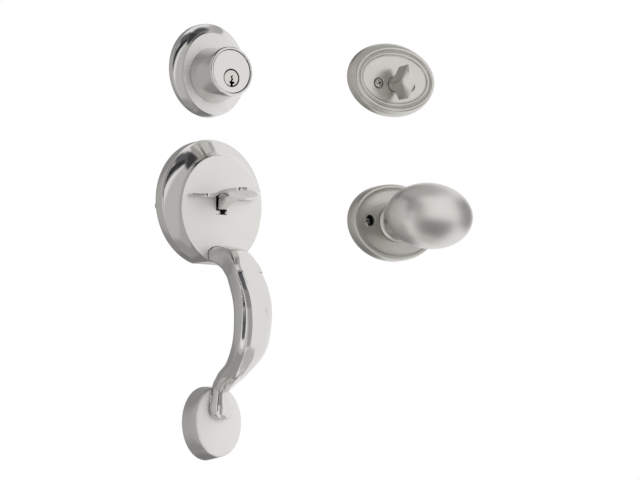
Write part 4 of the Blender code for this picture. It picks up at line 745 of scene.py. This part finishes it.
def grip_rings(spare=0.0, leafed=True):
    """Rings across the grip's centre line, each square to it. Spare makes it larger, as a cutter."""
    places = [k / 8 for k in range(8 * GRIP_END + 1)]
    if leafed:
        places += [LEAF_TOP + step for step in (
            -0.004, 0.0, 0.004, 0.01, 0.02, 0.035, 0.055, 0.08, 0.11, 0.145)]
    run = [station_at(place) for place in sorted(places)]
    rings, below_top = [], 0.0
    for count, place in enumerate(sorted(places)):
        reach, drop, width, depth, leaf_width, roundness, spread = run[count]
        roundness = min(1.0, max(0.0, roundness))
        before = station_at(max(place - 0.05, 0.0))
        after = station_at(min(place + 0.05, GRIP_END))
        along = Vector((after[0] - before[0], before[1] - after[1])).normalized()
        outward = Vector((-along.y, along.x))
        leaf, inset, sunk = 0.0, 0.0, 0.0
        if leafed and place > LEAF_TOP:
            below_top += math.hypot(reach - run[count - 1][0], drop - run[count - 1][1])
            leaf = eased((LEAF_FOOT - place) / 1.2)
            left = max(0.0, LEAF_CORNER - below_top)
            inset = LEAF_CORNER - math.sqrt(LEAF_CORNER ** 2 - left ** 2)
        elif leafed:
            sunk = LEAF_STEP * eased((place - LEAF_TOP + 2.0) / 1.5)
        row = []
        for x, n in grip_section(width + spare, depth + spare, leaf_width + spare, roundness, leaf, inset):
            n -= sunk * eased((n + 0.2 * depth) / (0.8 * depth))
            n *= spread if n < 0 else 1.0
            row.append((x, -drop + n * outward.y, reach + n * outward.x))
        rings.append(row)
    return rings


def rod(name, radius, bottom, top, axis, count=48):
    """A plain cylinder between two heights."""
    return made(name, solid_turned([(radius, bottom), (radius, top)], count), axis)


grip = made("grip_bar", skin(grip_rings()), LATCH_AXIS, sharp=25.0)
BULB_AXIS = LATCH_AXIS @ Matrix.Translation((0.0, -GRIP_BULB_DROP, 0.0))
tang = made("grip_tang", skin([
    ring(TANG_HALF_WIDTH, TANG_HALF_HEIGHT, height, -TANG_DROP, count=40)
    for height in (TANG_START, ROSE_DEPTH - GRIP_ROOT_DEPTH / 2)]), LATCH_AXIS)
boss = rod("grip_boss", GRIP_BOSS_RADIUS, 0.0040, BULB_DEPTH, BULB_AXIS)
cut(grip, [tang, boss], "UNION")
cut(grip, [rod("stud_bore", STUD_BORE, -0.01, BULB_DEPTH - 0.006, BULB_AXIS, 32)])
grip.data.set_sharp_from_angle(angle=math.radians(25))
fitted(grip, "trim", "grip")


# Lower rose
# A tall plain cup with a slightly domed face, polished like the upper rose. The grip's
# bulb is let into its face, and a boss behind it takes the stud in the door.
LOWER_AXIS = Matrix.Translation((0.0, 0.0, -0.1706)) @ OUT_OF_DOOR
LOWER_HALF_WIDTH = 0.0210
LOWER_HALF_HEIGHT = 0.0285
LOWER_TAPER = 0.0016
LOWER_RIM = 0.0198
LOWER_EDGE = 0.0012
LOWER_DOME = 0.0014
LOWER_WALL = 0.0022


def lower_rings(inset, count):
    """The tall plain wall, its rounded edge and the shallow dome of the face."""
    w, h, taper = LOWER_HALF_WIDTH - inset, LOWER_HALF_HEIGHT - inset, LOWER_TAPER
    rows = [ring(w, h, 0.0)]
    top = LOWER_RIM - LOWER_EDGE
    for t in (0.3, 0.6, 1.0):
        rows.append(ring(w - 0.15 * taper * t, h - 0.75 * taper * t, (top - inset * 0.5) * t))
    for k in range(1, 4):
        a = math.radians(90) * k / 4
        inwards = 0.0009 * (1 - math.cos(a))
        height = top + LOWER_EDGE * math.sin(a) - inset
        rows.append(ring(w - 0.15 * taper - inwards, h - 0.75 * taper - inwards, height))
    for k in range(count):
        s = 0.955 * (1 - k / count)
        height = LOWER_RIM + LOWER_DOME * (1 - s * s) - inset
        rows.append(ring((w - taper * 0.30) * s, (h - taper) * s, height))
    return rows


lower_rose = made("lower_rose_skin", skin(lower_rings(0.0, 16)[::-1] + lower_rings(LOWER_WALL, 6)),
                  LOWER_AXIS)
boss_way = rod("boss_way", GRIP_BOSS_RADIUS + SEAM, LOWER_RIM * 0.5, BULB_DEPTH + 0.01, BULB_AXIS)
bulb_pocket = made("bulb_pocket", skin(grip_rings(SEAM, leafed=False)), LATCH_AXIS)
cut(lower_rose, [boss_way, bulb_pocket])
face_finish(lower_rose, lightened_face_nickel, LOWER_RIM)
fitted(lower_rose, "trim", "lower_rose")


# Thumbpiece
# Cast brass: two thin wings lie along the rose's face and a broad tongue reaches out for
# the thumb. A swept gusset carries it to the stem that pivots inside the rose.
PIVOT = Vector((0.0, -0.0060, 0.0150))
STEM_HALF_WIDTH = 0.0038
STEM_BOTTOM = 0.0075
PLATE_HEIGHT = 0.0012
PLATE_THICKNESS = 0.0022
PLATE_MIDDLE = PLATE_HEIGHT + PLATE_THICKNESS / 2
WING_SPAN = 0.0290
TONGUE_REACH = 0.0435
TONGUE_HALF_WIDTH = 0.0160
TONGUE_HALF_LENGTH = 0.0175
WING_BACK = ROSE_DEPTH + 0.0014
CURL = 0.0019
CURL_START = 0.0300
CURL_REACH = 0.0350


def soften(piece, width, angle=30.0):
    """Rounds the edges of a piece that are sharper than an angle."""
    step = piece.modifiers.new("soften", "BEVEL")
    step.width = width
    step.segments = 3
    step.limit_method = "ANGLE"
    step.angle_limit = math.radians(angle)
    result = modified_mesh(piece)
    piece.modifiers.clear()
    piece.data = result
    result.shade_smooth()
    result.set_sharp_from_angle(angle=math.radians(40))


w = WING_SPAN
half = [(0.42 * w, 0.0), (0.76 * w, 0.0003), (0.94 * w, 0.0005), (0.99 * w, 0.0010), (1.00 * w, 0.0016),
        (0.98 * w, 0.0023), (0.90 * w, 0.0031), (0.76 * w, 0.0044), (0.66 * w, 0.0057), (0.58 * w, 0.0073),
        (0.53 * w, 0.0089), (0.50 * w, 0.0106)]
half = [(x, WING_BACK + z) for x, z in half]
tongue_centre = ROSE_DEPTH + TONGUE_REACH - TONGUE_HALF_LENGTH
for k in range(28):
    a = math.radians(-32) + math.radians(122) * k / 28
    half.append((TONGUE_HALF_WIDTH * math.cos(a), tongue_centre + TONGUE_HALF_LENGTH * math.sin(a)))
outline = half + [(0.0, tongue_centre + TONGUE_HALF_LENGTH)] + [(-x, z) for x, z in reversed(half)]
wings = plate([outline], 0.0, PLATE_THICKNESS)
tongue = bmesh.new()
tongue.from_mesh(wings)
for step in range(12):
    bmesh.ops.bisect_plane(tongue, geom=tongue.verts[:] + tongue.edges[:] + tongue.faces[:],
                           plane_co=(0.0, CURL_START + 0.003 * step, 0.0), plane_no=(0.0, 1.0, 0.0))
for vertex in tongue.verts:
    beyond = max(0.0, vertex.co.y - CURL_START)
    vertex.co.z += CURL * (beyond / CURL_REACH) ** 1.5
tongue.to_mesh(wings)
tongue.free()
wings.transform(Matrix(((1, 0, 0, 0), (0, 0, 1, PLATE_HEIGHT), (0, 1, 0, 0), (0, 0, 0, 1))))
wings.flip_normals()
thumbpiece = made("thumb_lever", wings, LATCH_AXIS)
soften(thumbpiece, 0.0005)


def stem_ring(half_width, bottom, reach, power):
    """A rounded rectangle across the stem, up to the middle of the plate. A higher power squares it."""
    half_height = (PLATE_MIDDLE - bottom) / 2
    points = []
    for i in range(40):
        a = 2 * math.pi * i / 40
        c, s = math.cos(a), math.sin(a)
        points.append((half_width * math.copysign(abs(c) ** (2 / power), c),
                       bottom + half_height + half_height * math.copysign(abs(s) ** (2 / power), s), reach))
    return points


gusset_rings = [stem_ring(STEM_HALF_WIDTH, -STEM_BOTTOM, PIVOT.z + 0.0010, 6.0),
                stem_ring(STEM_HALF_WIDTH, -STEM_BOTTOM, ROSE_DEPTH + 0.0022, 6.0)]
for k in range(1, 13):
    t = k / 12
    low = -STEM_BOTTOM + (PLATE_MIDDLE + STEM_BOTTOM - 0.0016) * (1 - (1 - t) ** 2.2)
    half_width = STEM_HALF_WIDTH + (TONGUE_HALF_WIDTH * 0.62 - STEM_HALF_WIDTH) * t ** 1.5
    reach = ROSE_DEPTH + 0.0022 + 0.55 * TONGUE_REACH * t
    gusset_rings.append(stem_ring(half_width, low, reach, 6.0 - 3.0 * t))
gusset = made("thumb_gusset", skin(gusset_rings), LATCH_AXIS)
tail_outline = [
    (-0.0096, 0.0170), (-0.0100, 0.0150), (-0.0088, 0.0114), (-0.0049, 0.00715),
    (-0.0015, 0.00715), (-0.0015, 0.01015), (-0.0025, 0.0150), (-0.0025, 0.0170)]
tail_mesh = plate([tail_outline], -STEM_HALF_WIDTH + 0.0001, STEM_HALF_WIDTH - 0.0001)
tail_mesh.transform(Matrix(((0, 0, 1, 0), (1, 0, 0, 0), (0, 1, 0, 0), (0, 0, 0, 1))))
tail = made("thumb_tail", tail_mesh, LATCH_AXIS)
cut(thumbpiece, [gusset, tail], "UNION")
pin_axis = LATCH_AXIS @ Matrix.Translation(PIVOT) @ Matrix.Rotation(math.radians(90), 4, "Y")
cut(thumbpiece, [rod("pin_way", 0.0017, -0.006, 0.006, pin_axis, 32)])
thumbpiece.data.shade_smooth()
thumbpiece.data.set_sharp_from_angle(angle=math.radians(38))
fitted(thumbpiece, "thumb", "thumbpiece")


# Works inside the upper rose, posts and screws
# Pressed and turned steel under bright zinc, with clips, a washer and the knob's spring in
# oiled spring steel. They are the CAD's own pieces: only their finish is set here.
zinc = bare_metal("zinc_plated_steel", "#b9bcc0", 0.34, 1.2, spread=0.08, depth_mm=0.01, tone="#e8eef6")
spring_steel = bare_metal("spring_steel_oiled", "#6c6d70", 0.36, 0.5, spread=0.06)
for metal, names in (
        (zinc, ("plug_cap", "tailpiece", "lower_stud", "handle_back_plate", "plate_screw_1", "plate_screw_2",
                "plate_screw_3", "grip_screw_left", "grip_screw_right", "mounting_post_left",
                "mounting_post_right", "thumb_pivot_pin", "latch_cam", "latch_spindle", "lift_slide",
                "slide_rivet_lower", "slide_rivet_upper", "thumbturn_bracket", "turn_shaft",
                "knob_base_plate", "knob_drive_plate", "knob_spindle")),
        (spring_steel, ("latch_circlip", "turn_washer", "turn_clip", "knob_return_spring", "knob_circlip"))):
    for name in names:
        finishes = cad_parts[name].data.materials
        finishes.clear()
        finishes.append(metal)


# Upper rose: lift spring
# Five turns of oiled spring wire above the slide. In the lock its top stays put and the
# slide shortens it as the thumbpiece is pressed; here it is built at rest and does not shorten.
SPRING_TURNS = 5
SPRING_STEPS = 24 * SPRING_TURNS
SPRING_WIRE = 0.00028

spring_foot, spring_head = (Vector(corner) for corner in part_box("lift_spring"))
spring_middle = (spring_foot + spring_head) / 2
coil_radius = (spring_head.x - spring_foot.x) / 2 - SPRING_WIRE
coil_height = spring_head.z - spring_foot.z - 2 * SPRING_WIRE
coil_rings = []
for k in range(SPRING_STEPS + 1):
    angle = 2 * math.pi * k / 24
    out = Vector((math.cos(angle), math.sin(angle), 0.0))
    height = spring_foot.z + SPRING_WIRE + coil_height * k / SPRING_STEPS
    middle = Vector((spring_middle.x, spring_middle.y, height))
    coil_rings.append([
        middle + out * (coil_radius + x) + Vector((0.0, 0.0, z))
        for x, z, _ in ring(SPRING_WIRE, SPRING_WIRE, 0.0, count=10)])
spring = made("lift_spring_wound", skin(coil_rings), Matrix.Identity(4), spring_steel)
fitted(spring, "trim", "lift_spring")
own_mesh(spring)


# Thumbturn: plate
# A spun brass plate with two beads round its edge, brushed on the lathe, so its highlights
# fan out from the centre. Real brush lines are about 0.1 mm apart, and are drawn 0.3 mm
# apart so that they show.
TURN_AXIS = Matrix.Translation((0.1715, 0.0, 0.1068)) @ OUT_OF_DOOR
TURN_HALF_WIDTH = 0.0406
TURN_HALF_HEIGHT = 0.0294
TURN_RISE = 0.0042
TURN_FIELD = 0.0070
TURN_WALL = 0.0018
STEM_RADIUS = 0.0060
SCREW_PLACE = 0.0148
BRUSHED_NICKEL = "#d3d1cd"
BRUSH_MM = 0.30

brushed_nickel = bare_metal("satin_nickel_brushed", BRUSHED_NICKEL, 0.30, BRUSH_MM, spread=0.05,
                            depth_mm=0.003, tone="#f6f5f3", lathed=0.55)
field = TURN_FIELD
bead_run = [(0.0, 0.0)] + [(inset, field + rise) for inset, rise in (
    (0.0002, -0.0052), (0.0006, -0.0040), (0.0012, -0.0025), (0.0020, -0.0012), (0.0023, -0.0009),
    (0.0025, -0.0002), (0.0029, 0.0006), (0.0036, 0.0012), (0.0045, 0.0016), (0.0054, 0.0015),
    (0.0062, 0.0010), (0.0068, 0.0003), (0.0071, -0.0002), (0.0074, -0.0002), (0.0077, 0.0004),
    (0.0082, 0.0008), (0.0089, 0.0009), (0.0096, 0.0007), (0.0102, 0.0001), (0.0105, -0.0003),
    (0.0109, -0.0003), (0.0112, 0.0))]


def turn_ring(inset, height):
    """A ring of the plate, inside its edge by the inset."""
    return ring(TURN_HALF_WIDTH - inset, TURN_HALF_HEIGHT - inset, height, TURN_RISE)


def beside(axis, way):
    """An axis moved sideways."""
    return axis @ Matrix.Translation((way, 0.0, 0.0))


def cut_screw_windows(cup, axis, place, profile):
    """Cuts the two holes that the screws stand in, from a turned profile."""
    cut(cup, [made("screw_window", solid_turned(profile, 64), beside(axis, way), brushed_nickel)
              for way in (-place, place)])


stem_way = STEM_RADIUS + SEAM
rings = [turn_ring(inset, height) for inset, height in bead_run]
rings += [ring(stem_way, stem_way, field), ring(stem_way, stem_way, field - TURN_WALL),
          turn_ring(0.0050, field - TURN_WALL), turn_ring(0.0022 + TURN_WALL, field - 0.0010 - TURN_WALL),
          turn_ring(TURN_WALL, 0.0)]
turn_plate = made("turn_plate", skin(rings, closed=True), TURN_AXIS, brushed_nickel)
cut_screw_windows(turn_plate, TURN_AXIS, SCREW_PLACE, [
    (0.0046, field - TURN_WALL - 0.001), (0.0046, field - 0.0003), (0.0050, field + 0.0001),
    (0.0058, field + 0.001)])
fitted(turn_plate, "trim", "thumbturn_plate")


# Screws of the interior pieces
# Pan-head machine screws with a cross recess, nickel plated like the plates they hold. The
# recess is dull, and its dark colour is painted shade.
HEAD_RADIUS = 0.0037
HEAD_HEIGHT = 0.0024
SHANK_RADIUS = 0.0020
THREAD_PITCH = 0.0008
THREAD_DEPTH = 0.00025
CROSS_ARM = 0.0021
CROSS_SLIT = 0.00042
CROSS_DEPTH = 0.0015
screw_metal = bare_metal("nickel_plated_screw", "#c9c6c0", 0.22, 0.4, spread=0.06)
# The recess's dark colour is painted shade.
recess_painted_shade = bare_metal("nickel_recess_painted_shade", "#5a5853", 0.40, 0.4, spread=0.06)


def cross_screw(name, node, axis, seat, length, turn):
    """A pan-head screw with a thread and a cross recess."""
    profile = [(0.0002, seat - length), (SHANK_RADIUS * 0.5, seat - length)]
    threads = int((length - 0.004) / THREAD_PITCH)
    for k in range(threads):
        base = seat - length + 0.0012 + k * THREAD_PITCH
        profile += [(SHANK_RADIUS - THREAD_DEPTH, base), (SHANK_RADIUS, base + THREAD_PITCH * 0.5)]
    profile += [(SHANK_RADIUS, seat - 0.0015), (SHANK_RADIUS, seat), (HEAD_RADIUS, seat)]
    for k in range(9):
        a = math.radians(90) * k / 9
        profile.append((HEAD_RADIUS * math.cos(a * 0.98) ** 0.7,
                        seat + 0.0002 + (HEAD_HEIGHT - 0.0002) * math.sin(a)))
    profile.append((0.0002, seat + HEAD_HEIGHT))
    screw = made(name, solid_turned(profile, 48), axis, screw_metal)
    arm, slit = CROSS_ARM, CROSS_SLIT
    cross = [(-slit, -arm), (slit, -arm), (slit, -slit), (arm, -slit), (arm, slit), (slit, slit),
             (slit, arm), (-slit, arm), (-slit, slit), (-arm, slit), (-arm, -slit), (-slit, -slit)]
    recess = made("cross_recess", plate([cross], seat + HEAD_HEIGHT - CROSS_DEPTH, seat + 0.01),
                  axis @ Matrix.Rotation(math.radians(turn), 4, "Z"), recess_painted_shade)
    cut(screw, [recess], inside="TRANSFER")
    fitted(screw, "trim", node)


BRACKET_TOP = TURN_FIELD - TURN_WALL - SEAM
for name, way, turn in (("left", -SCREW_PLACE, 28), ("right", SCREW_PLACE, 61)):
    cross_screw(f"turn_plate_screw_{name}", f"thumbturn_screw_{name}", beside(TURN_AXIS, way),
                BRACKET_TOP + SEAM, 0.0260, turn)


# Thumbturn: turn piece
# A cast diamond with two shallow facets that meet in a soft crease, brushed lengthwise.
# It narrows into a round stem that turns in the plate.
TURN_LEVER_HALF_WIDTH = 0.0070
TURN_LEVER_HALF_HEIGHT = 0.0139
TURN_REACH = 0.0290
TURN_BODY = 0.0172
TURN_STEM_START = BRACKET_TOP - 0.0018 - 0.0032
TURN_BORE = 0.0043

lever_brushed = bare_metal("satin_nickel_brushed_lever", BRUSHED_NICKEL, 0.30, BRUSH_MM,
                           grain_stretch=(1.0, 0.12, 1.0), spread=0.05, depth_mm=0.003, tone="#f6f5f3")


def diamond(half_width, half_height, height, crease=0.0):
    """Points round a diamond whose crease joins its top and bottom corners."""
    corners = [(half_width, 0.0), (0.0, half_height), (-half_width, 0.0), (0.0, -half_height)]
    points = []
    for (x0, y0), (x1, y1) in zip(corners, corners[1:] + corners[:1]):
        for k in range(8):
            t = k / 8
            x, y = x0 + (x1 - x0) * t, y0 + (y1 - y0) * t
            points.append((x, y, height + crease * (1 - abs(x) / half_width)))
    return points


w, h = TURN_LEVER_HALF_WIDTH, TURN_LEVER_HALF_HEIGHT
lever_back = TURN_REACH - TURN_BODY
lever_rings = [ring(radius, radius, height, count=32) for radius, height in (
    (TURN_BORE, lever_back + 0.0010), (TURN_BORE, TURN_STEM_START),
    (STEM_RADIUS, TURN_STEM_START), (STEM_RADIUS, lever_back - 0.0022))]
lever_rings += [
    diamond(0.92 * w, 0.80 * h, lever_back - 0.0002), diamond(0.98 * w, 0.97 * h, lever_back + 0.0014),
    diamond(w, h, TURN_REACH - 0.0020), diamond(0.50 * w, 0.50 * h, TURN_REACH - 0.0012, 0.0006)]
turn_lever = made("turn_lever", skin(lever_rings), TURN_AXIS, lever_brushed)
soften(turn_lever, 0.0004, 25.0)
fitted(turn_lever, "turn", "turn_piece")


# Knob: rose
# A spun brass rose with a raised lip and a shallow dished field, brushed in circles.
# Two access holes in the field let the driver reach the screws on the base plate.
KNOB_AXIS = Matrix.Translation((0.1715, 0.0, -0.0035)) @ OUT_OF_DOOR
KNOB_ROSE_HALF_WIDTH = 0.0405
KNOB_ROSE_HALF_HEIGHT = 0.0305
KNOB_LIP = 0.0097
KNOB_FIELD = 0.0080
KNOB_ROSE_WALL = 0.0018
SLEEVE_RADIUS = 0.0120
POST_PLACE = 0.0238
KNOB_BASE = 0.0016

lip, dish = KNOB_LIP, KNOB_FIELD
lip_run = [(0.0, 0.0)] + [(inset, lip + rise) for inset, rise in (
    (0.0001, -0.0040), (0.0003, -0.0020), (0.0007, -0.0010), (0.0012, -0.0004), (0.0018, -0.0001),
    (0.0024, 0.0), (0.0030, -0.0001), (0.0034, -0.0004), (0.0037, -0.0009), (0.0039, -0.0014))]
lip_run += [(inset, dish + rise) for inset, rise in (
    (0.0041, -0.0001), (0.0046, -0.0003), (0.0060, -0.0004), (0.0080, -0.0004), (0.0110, -0.0002),
    (0.0140, 0.0))]


def knob_ring(inset, height):
    """A ring of the rose, inside its edge by the inset."""
    return ring(KNOB_ROSE_HALF_WIDTH - inset, KNOB_ROSE_HALF_HEIGHT - inset, height)


sleeve_way = SLEEVE_RADIUS + SEAM
rings = [knob_ring(inset, height) for inset, height in lip_run]
rings += [ring(sleeve_way, sleeve_way, dish), ring(sleeve_way, sleeve_way, dish - KNOB_ROSE_WALL),
          knob_ring(0.0140, dish - KNOB_ROSE_WALL),
          knob_ring(0.0039 + KNOB_ROSE_WALL * 0.5, dish - 0.0003 - KNOB_ROSE_WALL),
          knob_ring(KNOB_ROSE_WALL, dish - 0.0012 - KNOB_ROSE_WALL), knob_ring(KNOB_ROSE_WALL, 0.0)]
knob_rose = made("knob_rose_skin", skin(rings, closed=True), KNOB_AXIS, brushed_nickel)
cut_screw_windows(knob_rose, KNOB_AXIS, POST_PLACE, [
    (0.0042, 0.003), (0.0042, dish - 0.0006), (0.0045, dish - 0.0001), (0.0055, dish + 0.001)])
fitted(knob_rose, "trim", "knob_rose")
for name, way, turn in (("left", -POST_PLACE, 35), ("right", POST_PLACE, 12)):
    cross_screw(f"knob_rose_screw_{name}", f"knob_screw_{name}", beside(KNOB_AXIS, way),
                KNOB_BASE + SEAM, 0.0200, turn)


# Knob: neck
# Turned brass: a flange on the rose, a cove down to the neck, and a stub inside the knob.
NECK_FLANGE = 0.0155
NECK_RADIUS = 0.0108
NECK_BORE = 0.0052497
NECK_START = 0.0055
NECK_BORE_END = 0.0310
KNOB_CENTRE = 0.0560
KNOB_HALF_DEPTH = 0.0240

knob_back = KNOB_CENTRE - KNOB_HALF_DEPTH
flange_seat = KNOB_FIELD + SEAM
profile = [(0.0002, NECK_BORE_END), (NECK_BORE, NECK_BORE_END), (NECK_BORE, NECK_START),
           (SLEEVE_RADIUS, NECK_START), (SLEEVE_RADIUS, flange_seat), (NECK_FLANGE - 0.0003, flange_seat),
           (NECK_FLANGE, flange_seat + 0.0003), (NECK_FLANGE, flange_seat + 0.0012),
           (NECK_FLANGE - 0.0004, flange_seat + 0.0016)]
climb = knob_back - flange_seat - 0.0016
for k in range(1, 20):
    t = k / 20
    profile.append((NECK_RADIUS + (NECK_FLANGE - 0.0012 - NECK_RADIUS) * (1 - t) ** 2.4,
                    flange_seat + 0.0016 + climb * t))
profile += [(NECK_RADIUS, knob_back + 0.0080), (0.0002, knob_back + 0.0080)]
knob_neck = made("knob_neck_turned", solid_turned(profile, 96), KNOB_AXIS, brushed_nickel)
fitted(knob_neck, "knob", "knob_neck")


# Knob: egg
# Two drawn brass halves, brazed and buffed to a fine satin all over, with no grain that
# the eye can follow.
KNOB_HALF_WIDTH = 0.0378
KNOB_HALF_HEIGHT = 0.0260
KNOB_WALL = 0.0016
EGG_COLOUR = "#dddbd8"

egg_nickel = bare_metal("satin_nickel_buffed", EGG_COLOUR, 0.36, 0.25, spread=0.03, depth_mm=0.001,
                        tone="#f8f7f5")


def egg_ring(angle, inset=0.0):
    """A ring of the egg at an angle from its front pole."""
    s = math.sin(angle)
    return ring((KNOB_HALF_WIDTH - inset) * s, (KNOB_HALF_HEIGHT - inset) * s,
                KNOB_CENTRE + (KNOB_HALF_DEPTH - inset) * math.cos(angle))


neck_way = NECK_RADIUS + SEAM
rings = [egg_ring(math.radians(1.5 + 140.5 * k / 48)) for k in range(49)]
rings += [ring(radius, radius, height) for radius, height in (
    (neck_way + 0.0018, knob_back + 0.0012), (neck_way, knob_back + 0.0006), (neck_way, knob_back + 0.0030))]
rings += [egg_ring(math.radians(a), KNOB_WALL) for a in (132, 110, 88, 66, 44, 22, 6)]
egg = made("knob_egg", skin(rings), KNOB_AXIS, egg_nickel)
fitted(egg, "knob", "knob_shell")
